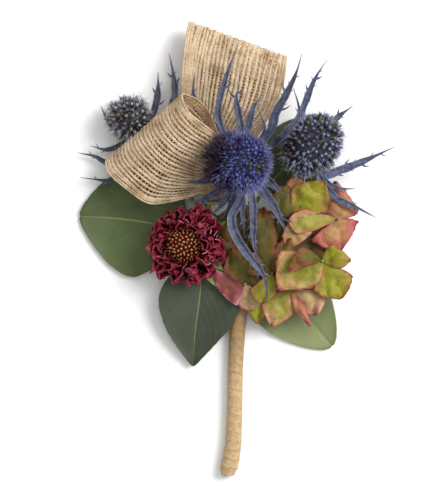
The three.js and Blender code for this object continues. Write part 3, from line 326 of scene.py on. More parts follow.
LAYER_DRIFT = 0.028                          # of the cords from one layer to the other
WEAVES = {"upper": (0.46, 1.3), "left": (0.4, 1.0)}   # half a cord's width, and how uneven the pitch
SELVEDGE_HALF = 0.36
SELVEDGE_CORDS = ((0.01, 0.033, 0.056), (0.944, 0.967, 0.99))     # as shares of the width
CORD_HEIGHT = 0.36
WEFT_WIDTH, WEFT_HEIGHT = 0.18, 0.14


# Colours

WHITE = (1, 1, 1, 1)


def linear(code):
    """An sRGB hex colour as linear values with full alpha."""
    shares = [int(code[i:i + 2], 16) / 255 for i in (1, 3, 5)]
    return (*[c / 12.92 if c <= 0.04045 else ((c + 0.055) / 1.055) ** 2.4 for c in shares], 1.0)


def shade(colour, share):
    """The colour made darker or lighter, by one share or one for each channel."""
    return (*[min(1.0, c * f) for c, f in zip(colour, np.broadcast_to(share, 3))], 1.0)


def colour_setting(name, description, code):
    return FloatVectorProperty(name=name, description=description, subtype="COLOR", size=4,
                               min=0, max=1, default=linear(code))


class BoutonniereSettings(bpy.types.PropertyGroup):
    """What a user would change."""
    tape_pitch: FloatProperty(name="Tape pitch", description="One turn of the tape, in millimetres",
                              default=2.6, min=1, max=6)
    tape_colour: colour_setting("Tape", "Colour of the binding tape", "#c6a980")
    jute_cords: IntProperty(name="Jute cords", description="Cords across the ribbon",
                            default=27, min=8, max=40)
    weft_pitch: FloatProperty(name="Weft pitch", description="Between crossing threads, in millimetres",
                              default=1.0, min=0.6, max=4)
    jute_colour: colour_setting("Jute", "Colour of the ribbon's cords", "#d1bb9e")
    holly_colour: colour_setting("Sea holly", "Colour of the centre head", "#484e8a")
    bract_colour: colour_setting("Bracts", "Colour of the spiny bracts", "#3c4056")
    petal_colour: colour_setting("Scabiosa", "Colour of the scabiosa petals", "#400511")


def settings():
    return bpy.context.scene.boutonniere


# Lines and surfaces

def spline_point(points, share):
    """A place on the smooth line through the points, by share of their count."""
    last = len(points) - 1
    place = min(max(share, 0.0), 1.0) * last
    i = min(int(place), last - 1)
    w = place - i
    p1 = points[i]
    p2 = points[i + 1]
    p0 = points[i - 1] if i > 0 else 2 * p1 - p2
    p3 = points[i + 2] if i + 2 <= last else 2 * p2 - p1
    d0, d1, d2 = [max((b - a).length ** 0.5, 1e-4) for a, b in ((p0, p1), (p1, p2), (p2, p3))]
    t1 = ((p1 - p0) / d0 - (p2 - p0) / (d0 + d1) + (p2 - p1) / d1) * d1
    t2 = ((p2 - p1) / d1 - (p3 - p1) / (d1 + d2) + (p3 - p2) / d2) * d1
    return (p1 + t1 * w + (3 * (p2 - p1) - 2 * t1 - t2) * w ** 2
            + (2 * (p1 - p2) + t1 + t2) * w ** 3)


def smooth_line(points, steps):
    """Evenly spaced places on the smooth line through the points."""
    points = [Vector(p) for p in points]
    fine = [spline_point(points, k / 400) for k in range(401)]
    lengths = [0.0]
    for a, b in zip(fine, fine[1:]):
        lengths.append(lengths[-1] + (b - a).length)
    line = []
    k = 0
    for step in range(steps + 1):
        wanted = lengths[-1] * step / steps
        while k < 399 and lengths[k + 1] < wanted:
            k += 1
        span = lengths[k + 1] - lengths[k]
        line.append(fine[k].lerp(fine[k + 1], (wanted - lengths[k]) / span if span else 0.0))
    return line


def tangents(line):
    last = len(line) - 1
    return [(line[min(k + 1, last)] - line[max(k - 1, 0)]).normalized() for k in range(last + 1)]


def golden_way(i, height, rise=1.0):
    """The direction of one of many points that lie evenly over a dome."""
    side = math.sqrt(1 - height * height)
    return Vector((side * math.cos(GOLDEN_ANGLE * i), side * math.sin(GOLDEN_ANGLE * i), height * rise))


def standing(place, way):
    """Moves what stands at the origin to a place and turns it so that it points a way."""
    return Matrix.Translation(place) @ UP.rotation_difference(way).to_matrix().to_4x4()


def grid_of(rows, columns, place_at):
    """Rows of places by a rule that takes the share along and the share across."""
    return [[place_at(r / rows, c / columns) for c in range(columns + 1)] for r in range(rows + 1)]


def wrap_at(y):
    """Middle and outer radius of the tape at a place along the stems."""
    k = 0
    while k < len(WRAP_STATIONS) - 2 and y < WRAP_STATIONS[k + 1][0]:
        k += 1
    a, b = WRAP_STATIONS[k], WRAP_STATIONS[k + 1]
    t = min(max((y - a[0]) / (b[0] - a[0]), 0.0), 1.0)
    return [a[i] + (b[i] - a[i]) * t for i in (1, 2, 3)]


def bound_run(degrees):
    """Where a stem runs inside the tape, down to its cut end."""
    run = []
    for y in (-9, -13, -19, -24.2, -37.1, -49.7, STEM_END):
        t = min(max((y + 15) / 7, 0.0), 1.0)
        spread = BUNDLE_RADIUS * (1 + 0.3 * t * t * (3 - 2 * t))
        x, z, _ = wrap_at(y)
        run.append((x + spread * math.cos(math.radians(degrees)), y,
                    z + spread * math.sin(math.radians(degrees))))
    return run


# Objects

def select_only(*objects):
    bpy.ops.object.select_all(action="DESELECT")
    for obj in objects:
        obj.select_set(True)
    bpy.context.view_layer.objects.active = objects[0]


def primitive(add, **values):
    """A new primitive, made by one of the operators that add them, with its place and turn applied."""
    add(**values)
    bpy.ops.object.transform_apply(location=True, rotation=True, scale=True)
    return bpy.context.object


def apply_modifier(obj, kind, **values):
    select_only(obj)
    modifier = obj.modifiers.new(kind.title(), kind)
    for name, value in values.items():
        setattr(modifier, name, value)
    bpy.ops.object.modifier_apply(modifier=modifier.name)


def join(name, objects):
    """Joins the objects into one that has this name."""
    select_only(*objects)
    if len(objects) > 1:
        bpy.ops.object.join()
    joined = bpy.context.view_layer.objects.active
    joined.name = name
    joined.data.name = name
    return joined


def paint(obj, **colours):
    """Gives the object colour attributes: one colour for all points, or a list point by point."""
    for name, colour in colours.items():
        layer = obj.data.color_attributes.new(name, "FLOAT_COLOR", "POINT")
        values = np.broadcast_to(np.array(colour, np.float32), (len(obj.data.vertices), 4))
        layer.data.foreach_set("color", values.ravel())
    return obj


def mesh_object(name, vertices, faces, uv):
    """A new mesh whose surface places are given point by point."""
    mesh = bpy.data.meshes.new(name)
    mesh.from_pydata([tuple(v) for v in vertices], [], faces)
    corners = np.zeros(len(mesh.loops), np.int32)
    mesh.loops.foreach_get("vertex_index", corners)
    layer = mesh.uv_layers.new(name="UVMap")
    layer.data.foreach_set("uv", np.array(uv, np.float32)[corners].ravel())
    obj = bpy.data.objects.new(name, mesh)
    bpy.context.scene.collection.objects.link(obj)
    return obj


def curved_sheet(name, rows, thickness):
    """A grid moved row by row onto its places, then given its thickness."""
    high = len(rows) - 1
    wide = len(rows[0]) - 1
    obj = primitive(bpy.ops.mesh.primitive_grid_add, x_subdivisions=wide, y_subdivisions=high, size=2)
    obj.name = name
    for vertex in obj.data.vertices:
        column = round((vertex.co.x + 1) / 2 * wide)
        row = round((vertex.co.y + 1) / 2 * high)
        vertex.co = rows[row][column]
    apply_modifier(obj, "SOLIDIFY", thickness=thickness, offset=0.0)
    return obj


def tube_faces(rings, sides, start=0):
    """The faces of a closed tube whose points lie ring after ring."""
    faces = []
    for ring in range(start, start + (rings - 1) * sides, sides):
        for i in range(sides):
            a, b = ring + i, ring + (i + 1) % sides
            faces.append((a, b, b + sides, a + sides))
    end = start + (rings - 1) * sides
    return [*faces, tuple(reversed(range(start, start + sides))), tuple(range(end, end + sides))]


def tube(name, line, radius_at, sides, flat=1.0):
    """A round or flattened tube along a line, closed at both ends."""
    ways = tangents(line)
    side = UP.cross(ways[0])
    if side.length < 0.1:
        side = Vector((1, 0, 0)).cross(ways[0])
    side.normalize()
    last = len(line) - 1
    vertices, uv = [], []
    length = 0.0
    for k, (centre, way) in enumerate(zip(line, ways)):
        side = (side - way * side.dot(way)).normalized()
        other = way.cross(side)
        length += (centre - line[k - 1]).length if k else 0.0
        radius = radius_at(k / last)
        for i in range(sides):
            angle = 2 * math.pi * i / sides
            vertices.append(centre + side * radius * math.cos(angle)
                            + other * radius * flat * math.sin(angle))
            uv.append((i / sides, length / 10))
    return mesh_object(name, vertices, tube_faces(len(line), sides), uv)


def stem(name, route, degrees, thick, narrowing=3):
    """A stem that narrows from its own half thickness to that of the bound stems."""
    return tube(name, smooth_line([*route, *bound_run(degrees)], 40),
                lambda t: thick + (STEM_RADIUS - thick) * min(1, narrowing * t), 8)


def scattered(name, template, placements):
    """Copies of one small shape in one mesh; u tells the copies apart and v is the height in it."""
    mesh = template.data
    points = np.zeros(len(mesh.vertices) * 3, np.float32)
    mesh.vertices.foreach_get("co", points)
    points = np.column_stack([points.reshape(-1, 3), np.ones(len(mesh.vertices))])
    height = points[:, 2] / points[:, 2].max()
    shape = [tuple(face.vertices) for face in mesh.polygons]
    vertices, faces, uv = [], [], []
    for matrix, draw in placements:
        start = len(vertices)
        vertices.extend(map(tuple, (points @ np.array(matrix.transposed()))[:, :3]))
        faces.extend(tuple(start + i for i in face) for face in shape)
        uv.extend((draw, h) for h in height)
    bpy.data.objects.remove(template)
    return mesh_object(name, vertices, faces, uv)


def set_uv(obj, place):
    """Gives the whole object one surface place."""
    for layer in obj.data.uv_layers:
        layer.data.foreach_set("uv", np.tile(place, len(obj.data.loops)))


def turn_outward(obj):
    """Makes all faces look out."""
    select_only(obj)
    bpy.ops.object.mode_set(mode="EDIT")
    bpy.ops.mesh.select_all(action="SELECT")
    bpy.ops.mesh.normals_make_consistent(inside=False)
    bpy.ops.object.mode_set(mode="OBJECT")


def finish_piece(obj, material, slot, nodes, angle=50):
    """Smooths the piece, brings it to metres in its place and lets it ride on the frame."""
    select_only(obj)
    bpy.ops.object.shade_smooth_by_angle(angle=math.radians(angle))
    obj.data.transform(Matrix.Scale(MM, 4) @ Matrix.Translation(-OUTLINE_MIDDLE))
    obj.data.materials.clear()
    obj.data.materials.append(material)
    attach(obj, "root")
    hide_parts(*nodes)
    return obj


# Materials

def add_node(tree, kind, inputs=None, stops=None, **values):
    """Adds a node with its values, its inputs as numbers or links, and a ramp's stops."""
    made = tree.nodes.new(kind)
    for name, value in values.items():
        setattr(made, name, value)
    for key, value in (inputs or {}).items():
        if isinstance(value, bpy.types.NodeSocket):
            tree.links.new(value, made.inputs[key])
        else:
            made.inputs[key].default_value = value
    for i, (place, colour) in enumerate(stops or []):
        ramp_stops = made.color_ramp.elements
        stop = ramp_stops[i] if i < len(ramp_stops) else ramp_stops.new(place)
        stop.position = place
        stop.color = colour
    return made


def start_material(name, **sockets):
    """A material with one shader; socket names are written with underscores."""
    material = bpy.data.materials.new(name)
    material.use_nodes = True
    shader = material.node_tree.nodes["Principled BSDF"]
    for socket, value in sockets.items():
        shader.inputs[socket.replace("_", " ")].default_value = value
    return material, material.node_tree


def finish_material(material, colour, height=None, strength=0.4, distance=0.0002):
    """Links the colour and the fine relief to the shader."""
    tree = material.node_tree
    shader = tree.nodes["Principled BSDF"]
    tree.links.new(colour, shader.inputs["Base Color"])
    if height is not None:
        bump = add_node(tree, "ShaderNodeBump",
                        {"Height": height, "Strength": strength, "Distance": distance})
        tree.links.new(bump.outputs[0], shader.inputs["Normal"])
    return material


def object_places(tree):
    return add_node(tree, "ShaderNodeTexCoord").outputs["Object"]


def surface_place(tree):
    """The piece's own two surface coordinates."""
    place = add_node(tree, "ShaderNodeUVMap", uv_map="UVMap").outputs["UV"]
    split = add_node(tree, "ShaderNodeSeparateXYZ", {0: place})
    return split.outputs["X"], split.outputs["Y"]


def attribute(tree, name, output="Color"):
    return add_node(tree, "ShaderNodeAttribute", attribute_name=name).outputs[output]


def clouds(tree, scale, detail, **inputs):
    """Noise in the piece's own space, with the scale in lumps per metre."""
    if "Vector" not in inputs:
        inputs["Vector"] = object_places(tree)
    return add_node(tree, "ShaderNodeTexNoise",
                    {"Scale": scale, "Detail": detail, **inputs}).outputs["Fac"]


def plot(tree, value, *steps):
    """Chains maths on a value: each step is (operation, second value)."""
    for operation, second in steps:
        value = add_node(tree, "ShaderNodeMath", {0: value, 1: second}, operation=operation).outputs[0]
    return value


def ramp(tree, value, *stops):
    """The colour that a value has on a ramp of stops."""
    return add_node(tree, "ShaderNodeValToRGB", {"Fac": value}, stops=stops).outputs[0]


def blend(tree, share, one, other, kind="MIX"):
    return add_node(tree, "ShaderNodeMix", {0: share, 6: one, 7: other},
                    data_type="RGBA", blend_type=kind).outputs[2]


def times(tree, one, other):
    return blend(tree, 1.0, one, other, "MULTIPLY")


def off_middle(tree, across):
    """How far a place is from the midrib, as a share of the full width."""
    return plot(tree, across, ("SUBTRACT", 0.5), ("ABSOLUTE", 0.0))


def mottled_material(name, scale, detail, *stops, **sockets):
    """A plain surface whose colour wanders a little between the stops."""
    material, tree = start_material(name, **sockets)
    colours = [(place, linear(code)) for place, code in stops]
    return finish_material(material, ramp(tree, clouds(tree, scale, detail), *colours))


def stem_material():
    """Young green stem: smooth bark, satin, a little uneven in colour."""
    return mottled_material("green_stem", 400.0, 3.0, (0.3, "#4c5a2c"), (0.7, "#869a4c"),
                            Roughness=0.55)


def wire_material():
    """Green enamelled florist's wire: thin paint over steel, satin."""
    return mottled_material("enamelled_florist_wire", 800.0, 2.0, (0.35, "#3c4a34"),
                            (0.65, "#5a6b4c"), Roughness=0.4)


def floor_material():
    """White paper sweep: matte, very slightly mottled."""
    return mottled_material("white_paper_sweep", 40.0, 2.0, (0.3, "#f6f6f5"), (0.7, "#fbfbfb"),
                            Roughness=0.9, Specular_IOR_Level=0.1)


def tape_material():
    """Crepe paper tape, waxed and stretched: matte tan with fine cross wrinkles; painted shade at the foot
    of each lap and a faint painted highlight on its raised edge, and painted shade over the upper part.
    """
    material, tree = start_material("waxed_crepe_tape", Roughness=0.72, Specular_IOR_Level=0.3)
    places = object_places(tree)
    base = settings().tape_colour
    # Painted shade at the foot of each lap, under the edge of the lap above, and a faint painted highlight
    # on the raised edge
    lap_shade = ramp(tree, surface_place(tree)[1], (0.0, shade(base, 0.62)), (0.1, shade(base, 0.9)),
                (0.7, base), (1.0, shade(base, 1.08)))
    tone = ramp(tree, clouds(tree, 900.0, 4.0), (0.3, (0.74, 0.7, 0.64, 1)), (0.65, WHITE))
    # Painted shade over the upper part of the tape, a little browner, for the shade of the flowers and
    # leaves above
    up_stem = plot(tree, add_node(tree, "ShaderNodeSeparateXYZ", {0: places}).outputs["Y"],
                   ("SUBTRACT", SHADE_BOTTOM), ("DIVIDE", SHADE_TOP - SHADE_BOTTOM))
    top_shade = ramp(tree, up_stem, (0.0, WHITE), (1.0, (0.62, 0.58, 0.5, 1)))
    wrinkles = add_node(tree, "ShaderNodeMapping", {"Vector": places, "Scale": (1.0, 5.0, 1.0)})
    return finish_material(material, times(tree, times(tree, lap_shade, tone), top_shade),
                           clouds(tree, 1500.0, 3.0, Vector=wrinkles.outputs[0]), 0.6)


def jute_material():
    """Spun jute cord, undyed: dry straw fibres twisted tightly, no gloss; painted shade on the side of each
    cord that faces into the loop leaves them paler where they stand out.
    """
    material, tree = start_material("natural_jute_cord", Roughness=0.9, Specular_IOR_Level=0.2)
    around, along = surface_place(tree)
    # One twist every 1.6 mm of cord, with v in centimetres of length
    twist = plot(tree, along, ("MULTIPLY", 6.2), ("ADD", around), ("MULTIPLY", 2 * math.pi),
                 ("SINE", 0.0))
    fibre = clouds(tree, 2600.0, 3.0)
    base = settings().jute_colour
    tone = ramp(tree, clouds(tree, 260.0, 3.0), (0.28, shade(base, (0.68, 0.6, 0.5))), (0.5, base),
                (0.74, shade(base, 1.2)))
    dark = ramp(tree, fibre, (0.3, (0.66, 0.6, 0.52, 1)), (0.6, WHITE))
    # Painted shade, darker and more orange brown, on the side of each cord that faces into the loop
    colour = blend(tree, attribute(tree, "inner", "Fac"), times(tree, tone, dark), linear("#8a5f36"))
    return finish_material(material, colour, plot(tree, twist, ("MULTIPLY", 0.5), ("ADD", fibre)),
                           0.7, 0.00012)


def leaf_material(name, tone):
    """Fresh eucalyptus leaf: waxy bloom over green, matte, with a pale midrib and faint side veins."""
    material, tree = start_material(f"eucalyptus_leaf_{name}", Roughness=0.56,
                                    Specular_IOR_Level=0.35)
    base = linear(tone)
    across, along = surface_place(tree)
    off_rib = off_middle(tree, across)
    rib = plot(tree, off_rib, ("MULTIPLY", -62.0), ("ADD", 1.0), ("MAXIMUM", 0.0), ("MULTIPLY", 0.6))
    vein = plot(tree, off_rib, ("MULTIPLY", -1.1), ("ADD", along), ("MULTIPLY", 56.0),
                ("SINE", 0.0), ("SUBTRACT", 0.86), ("MULTIPLY", 7.0), ("MAXIMUM", 0.0))
    skin = ramp(tree, clouds(tree, 90.0, 6.0), (0.3, shade(base, 0.78)), (0.7, shade(base, 1.2)))
    skin = blend(tree, plot(tree, vein, ("MULTIPLY", 0.05)), skin, linear("#8f9c72"))
    height = plot(tree, vein, ("MULTIPLY", -0.5), ("ADD", clouds(tree, 1700.0, 2.0)))
    return finish_material(material, blend(tree, rib, skin, linear("#97995f")), height, 0.35, 0.00015)


def floret_material(name, base, top, tip, flecks):
    """Sea holly florets: papery blue cups with paler tops and the palest spines; painted shade darkens them
    towards the root, and painted shade darkens the florets on a head's shaded side.
    """
    material, tree = start_material(f"sea_holly_florets_{name}", Roughness=0.6,
                                    Specular_IOR_Level=0.3)
    which, height = surface_place(tree)
    # Painted shade between the florets: near black at the root, up to the full colour part way up
    climb = ramp(tree, height, (0.0, linear("#101210")), (0.36, shade(base, 0.45)), (0.5, base),
                 (0.64, top), (1.0, tip))
    change = ramp(tree, which, (0.0, (0.16, 0.07, 0.05, 1)), (0.24, (0.42, 0.24, 0.2, 1)),
                  (0.4, (0.85, 0.82, 0.84, 1)), (1.0, (1.3, 1.25, 1.25, 1)))
    # Older florets have dried to a dull brown violet in patches a few millimetres wide
    age = ramp(tree, clouds(tree, 170.0, 2.0), (0.36, (0.55, 0.42, 0.42, 1)), (0.52, WHITE))
    green = plot(tree, which, ("GREATER_THAN", 1.0 - flecks), ("MULTIPLY", 0.7))
    colour = times(tree, times(tree, climb, change), age)
    return finish_material(material, blend(tree, green, colour, linear("#5f6a3a")))


def bract_material(name, base, root):
    """Sea holly bracts: leathery, blue over grey, with a pale midrib and pale spiny margins."""
    material, tree = start_material(f"sea_holly_bract_{name}", Roughness=0.5, Specular_IOR_Level=0.4)
    across, along = surface_place(tree)
    cloud = clouds(tree, 640.0, 6.0, Roughness=0.65)
    climb = ramp(tree, along, (0.0, root), (0.35, base), (1.0, shade(base, 0.62)))
    tone = ramp(tree, cloud, (0.36, (0.4, 0.4, 0.44, 1)), (0.5, (0.95, 0.94, 0.98, 1)),
                (0.64, (1.7, 1.65, 1.7, 1)))
    off_rib = off_middle(tree, across)
    edge = plot(tree, off_rib, ("SUBTRACT", 0.42), ("MULTIPLY", 12.0), ("MAXIMUM", 0.0))
    pale = plot(tree, off_rib, ("MULTIPLY", -11.0), ("ADD", 1.0), ("MAXIMUM", 0.0), ("MULTIPLY", 0.6),
                ("MAXIMUM", edge), ("MULTIPLY", cloud), ("MULTIPLY", 0.75))
    return finish_material(material, blend(tree, pale, times(tree, climb, tone), linear("#9aa0b8")),
                           cloud)


def sepal_material():
    """Hydrangea sepals in autumn: papery, lime in the middle, rose outwards, fanned fine veins."""
    material, tree = start_material("hydrangea_sepal", Roughness=0.55, Specular_IOR_Level=0.3,
                                    Subsurface_Weight=0.12, Subsurface_Scale=0.001)
    across, along = surface_place(tree)
    off_rib = plot(tree, off_middle(tree, across), ("MULTIPLY", 2.0))
    cloud = clouds(tree, 190.0, 5.0)
    # How near the edge: the larger of the way across and the way to the tip
    outward = plot(tree, along, ("POWER", 1.6), ("MAXIMUM", off_rib))
    mottled = plot(tree, cloud, ("SUBTRACT", 0.5), ("MULTIPLY", 1.7), ("ADD", outward))
    spread = ramp(tree, mottled, (0.42, (0, 0, 0, 1)), (0.86, WHITE))
    skin = blend(tree, spread, attribute(tree, "middle"), attribute(tree, "outer"))
    rim = plot(tree, outward, ("SUBTRACT", 0.86), ("MULTIPLY", 9.0), ("MAXIMUM", 0.0),
               ("MINIMUM", 0.9))
    skin = blend(tree, rim, skin, attribute(tree, "border"))
    # Veins fan out from the base: lines of equal across divided by along
    warp = plot(tree, clouds(tree, 500.0, 2.0), ("MULTIPLY", 7.0))
    vein = plot(tree, across, ("SUBTRACT", 0.5), ("DIVIDE", plot(tree, along, ("ADD", 0.35))),
                ("MULTIPLY", 84.0), ("ADD", warp), ("SINE", 0.0), ("SUBTRACT", 0.35),
                ("MULTIPLY", 1.5), ("MAXIMUM", 0.0))
    skin = blend(tree, plot(tree, vein, ("MULTIPLY", 0.24)), skin, linear("#8a4a38"))
    spot = plot(tree, clouds(tree, 900.0, 1.0), ("SUBTRACT", 0.7), ("MULTIPLY", 9.0),
                ("MAXIMUM", 0.0), ("MINIMUM", 0.6))
    skin = blend(tree, spot, skin, linear("#5a3322"))
    grain = ramp(tree, clouds(tree, 700.0, 4.0), (0.34, (0.8, 0.76, 0.7, 1)),
                 (0.62, (1.05, 1.05, 1.05, 1)))
    return finish_material(material, times(tree, skin, grain),
                           plot(tree, vein, ("MULTIPLY", -0.6), ("ADD", cloud)), 0.45, 0.0003)


def petal_material():
    """Scabiosa petals: velvety dark crimson; painted shade darkens them towards the root, and the rosier
    crinkled edges are a painted highlight.
    """
    material, tree = start_material("scabiosa_petal", Roughness=0.38, Specular_IOR_Level=0.45)
    across, along = surface_place(tree)
    cloud = clouds(tree, 600.0, 4.0)
    outward = plot(tree, along, ("MAXIMUM", plot(tree, off_middle(tree, across), ("MULTIPLY", 1.92))),
                   ("ADD", plot(tree, cloud, ("SUBTRACT", 0.5), ("MULTIPLY", 0.4))))
    base = settings().petal_colour
    # Painted shade, near black, towards the root and a rosy painted highlight at the crinkled edges, over
    # the crimson
    colour = ramp(tree, outward, (0.1, shade(base, 0.04)), (0.6, shade(base, 0.2)), (0.86, base),
                  (1.0, linear("#92283c")))
    return finish_material(material, colour, cloud)


def bud_material():
    """Unopened scabiosa buds: dull straw tops on dark red-brown throats."""
    material, tree = start_material("scabiosa_bud", Roughness=0.7, Specular_IOR_Level=0.15)
    which, height = surface_place(tree)
    climb = ramp(tree, height, (0.0, linear("#471312")), (0.55, linear("#6a2418")),
                 (0.85, linear("#86522e")), (1.0, linear("#b08c58")))
    change = ramp(tree, which, (0.15, (0.34, 0.12, 0.12, 1)), (0.7, (1.15, 1.1, 1.05, 1)))
    return finish_material(material, times(tree, climb, change))


# Pieces

class TapeWrap(bpy.types.Operator):
    """Winds the tan tape round the bound stems"""
    bl_idname = "boutonniere.tape_wrap"
    bl_label = "Tape Wrap"

    def execute(self, context):
        pitch = settings().tape_pitch
        top, bottom = WRAP_STATIONS[0][0], WRAP_STATIONS[-1][0]
        draw = random.Random(TAPE_SEED)
        tilt = [0.12 * math.sin(1.7 * k + 6 * draw.random()) for k in range(40)]
        # The mouth turns in round the stems: y, share of the radius, inset and shade
        vertices, uv = [], []
        for y, share, inset, tint in ((top - 4, 1, 0.6, 0.1), (top + 0.05, 1, 0.35, 0.1)):
            self.add_ring(vertices, uv, y, share, inset, tint)
        count = int((top - bottom) / TAPE_STEP)
        for k in range(count + 1):
            y = top - (top - bottom) * k / count
            x, z, radius = wrap_at(y)
            looseness = 0.25 + 0.75 * min(1.0, max(0.0, (TAPE_TIGHT - y) / 16))
            for i in range(TAPE_SIDES):
                angle = 2 * math.pi * i / TAPE_SIDES
                along = (top - y) / pitch + i / TAPE_SIDES
                phase = (along % 1 + tilt[int(along)]) % 1
                crepe = noise.noise(Vector((math.cos(angle) * 4, y * 2.4, math.sin(angle) * 4)))
                r = radius + TAPE_LAP * looseness * (phase - 0.3) + TAPE_CREPE * crepe
                vertices.append(Vector((x + r * math.cos(angle), y, max(0.0, z + r * math.sin(angle)))))
                uv.append((i / TAPE_SIDES, min(phase * 1.02, 1.0)))
        # The cut end is folded over
        for y, share, inset, tint in ((bottom - 0.28, 0.62, 0, 0.7), (bottom - 0.3, 0.05, 0, 0.5)):
            self.add_ring(vertices, uv, y, share, inset, tint)
        wrap = mesh_object("tape_wrap", vertices,
                           tube_faces(len(vertices) // TAPE_SIDES, TAPE_SIDES), uv)
        turn_outward(wrap)
        finish_piece(wrap, tape_material(), "tape", ["stem_wrap"], 35)
        return {"FINISHED"}

    def add_ring(self, vertices, uv, y, share, inset, tint):
        """A plain ring of the tape."""
        x, z, radius = wrap_at(y)
        r = radius * share - inset
        for i in range(TAPE_SIDES):
            angle = 2 * math.pi * i / TAPE_SIDES
            vertices.append(Vector((x + r * math.cos(angle), y, z + r * math.sin(angle))))
            uv.append((i / TAPE_SIDES, tint))


def leaf_rows(leaf, steps=200):
    """Rows of places for a round leaf, with its midrib's groove and its raised side veins."""
    spine = smooth_line(leaf["axis"], steps)
    ways = tangents(spine)

    def place_at(along, across):
        t = 0.004 + 0.992 * along
        s = math.copysign(abs(2 * across - 1) ** 1.1, 2 * across - 1)
        k = round(t * steps)
        width = leaf["half"] * math.sin(math.pi * t ** leaf["rise"]) ** leaf["round"]
        wave = 0.35 * math.sin(5.2 * t + 2 * s) * s * s
        groove = -0.22 * math.exp(-(s * width / 0.7) ** 2)
        veins = -0.1 * math.cos(56 * (t - 0.55 * abs(s))) * min(1, abs(s) * 4) * (1 - abs(s))
        edge = 1 + 0.012 * noise.noise(Vector((t * 9, s, leaf["half"])))
        lift = leaf["cup"] * width * s * s + wave + 0.4 * abs(s) + groove + veins
        place = spine[k] - UP.cross(ways[k]).normalized() * s * width * edge + UP * lift
        place.z = max(place.z, LEAF_LOWEST)
        return place

    return grid_of(46, 26, place_at)


class EucalyptusSprig(bpy.types.Operator):
    """Grows the eucalyptus leaves with their petioles on one twig"""
    bl_idname = "boutonniere.eucalyptus_sprig"
    bl_label = "Eucalyptus Sprig"

    def execute(self, context):
        for leaf in LEAVES:
            name = leaf["name"]
            blade = curved_sheet(f"eucalyptus_leaf_{name}", leaf_rows(leaf), LEAF_THICK)
            finish_piece(blade, leaf_material(name, leaf["tone"]), "leaf", ["eucalyptus_sprig"])
        petioles = [tube("petiole", smooth_line(leaf["petiole"], 16), lambda t: PETIOLE_RADIUS, 8)
                    for leaf in LEAVES]
        twig = [stem("twig", TWIG, -90, THIN_STEM, 4), *petioles]
        finish_piece(join("eucalyptus_twig", twig), stem_material(), "leaf", ["eucalyptus_sprig"])
        return {"FINISHED"}


def floret_template(bristles):
    """One sea holly floret, root at the origin: a cup with a round top and lobes, and its bristles."""
    parts = [primitive(bpy.ops.mesh.primitive_cone_add, vertices=6, radius1=0.24, radius2=0.4,
                       depth=2.0, end_fill_type="NOTHING", location=(0, 0, 1.0)),
             primitive(bpy.ops.mesh.primitive_ico_sphere_add, subdivisions=1, radius=0.48,
                       location=(0, 0, 1.95))]
    spikes = [                               # how many, thickness, length, place out, seat, lean
        (5, 0.2, 0.85, 0.24, 1.9, 24), (bristles, 0.13, 3.2, 0.6, 0.5, 17)]
    for count, thick, length, out, seat, lean in spikes:
        for i in range(count):
            angle = 2 * math.pi * (i + 0.3 * seat) / count
            side = out + 0.25 * length * math.sin(math.radians(lean))
            parts.append(primitive(
                bpy.ops.mesh.primitive_cone_add, vertices=3, radius1=thick, radius2=0.02, depth=length,
                location=(side * math.cos(angle), side * math.sin(angle), seat + length / 2),
                rotation=(0, math.radians(lean), angle)))
    return join("floret", parts)


def head_shape(long):
    """Stretches an oval head along its long direction; a round head stays as it is."""
    if not long:
        return Matrix.Identity(4)
    turn = Matrix.Rotation(math.atan2(long[1], long[0]), 4, "Z")
    return turn @ Matrix.Diagonal((HEAD_LENGTH, HEAD_BREADTH, 1, 1)) @ turn.inverted()


class SeaHollyHeads(bpy.types.Operator):
    """Sets the florets on the sea holly heads"""
    bl_idname = "boutonniere.sea_holly_heads"
    bl_label = "Sea Holly Heads"

    def execute(self, context):
        for flower in SEA_HOLLIES:
            name, core, florets = flower["name"], flower["core"], flower["florets"]
            cup, top, tip = [linear(code) if code else settings().holly_colour
                             for code in flower["head_colours"]]
            draw = random.Random(flower["seed"])
            middle = Vector(flower["centre"])
            turn = UP.rotation_difference(Vector(flower["axis"]))
            shape = head_shape(flower.get("long"))
            placements = []
            for i in range(florets):
                out = golden_way(i, 1 - 1.5 * (i + 0.5) / florets)
                lean = out + Vector((draw.random() - 0.5, draw.random() - 0.5, 0.36)) * 0.6
                lean.normalize()
                seat = Vector((out.x, out.y, out.z * DOME_RISE)) * core * (0.93 + 0.06 * draw.random())
                seat.rotate(turn)
                lean.rotate(turn)
                # Florets that lean to the shaded side are stretched longer, and their colour draw is
                # lowered to darken them, which is painted shade
                shaded_shaggy = max(0.0, lean.dot(Vector(flower.get("shaded_shaggy", (0, 0, 0)))))
                size = (flower["reach"] - core) / FLORET_REACH * (0.76 + 0.38 * draw.random())
                placements.append((
                    standing(middle + shape @ seat, lean)
                    @ Matrix.Rotation(6.28 * draw.random(), 4, "Z") @ Matrix.Scale(size, 4)
                    @ Matrix.Diagonal((1, 1, 1 + 0.95 * shaded_shaggy, 1)),
                    (0.32 + 0.68 * draw.random()) * (1 - min(0.85, 1.4 * shaded_shaggy))))
            crowd = scattered(f"sea_holly_{name}_florets", floret_template(flower["bristles"]),
                              placements)
            cone = primitive(bpy.ops.mesh.primitive_ico_sphere_add, subdivisions=4, radius=core)
            cone.data.transform(Matrix.Translation(middle) @ shape @ turn.to_matrix().to_4x4()
                                @ Matrix.Diagonal((1, 1, DOME_RISE, 1)))
            # The cone takes the dark lower part of the floret colours, painted shade between the florets
            set_uv(cone, (0.5, 0.26))
            finish_piece(join(f"sea_holly_{name}_head_florets", [crowd, cone]),
                         floret_material(name, cup, top, tip, flower["flecks"]), flower["head_slot"],
                         [f"sea_holly_{name}_head"], 40)
        return {"FINISHED"}


def swell(t):
    """How wide a bract is at a share of its length."""
    return 0.55 + 0.45 * math.sin(math.pi * min(1, t * 1.15))


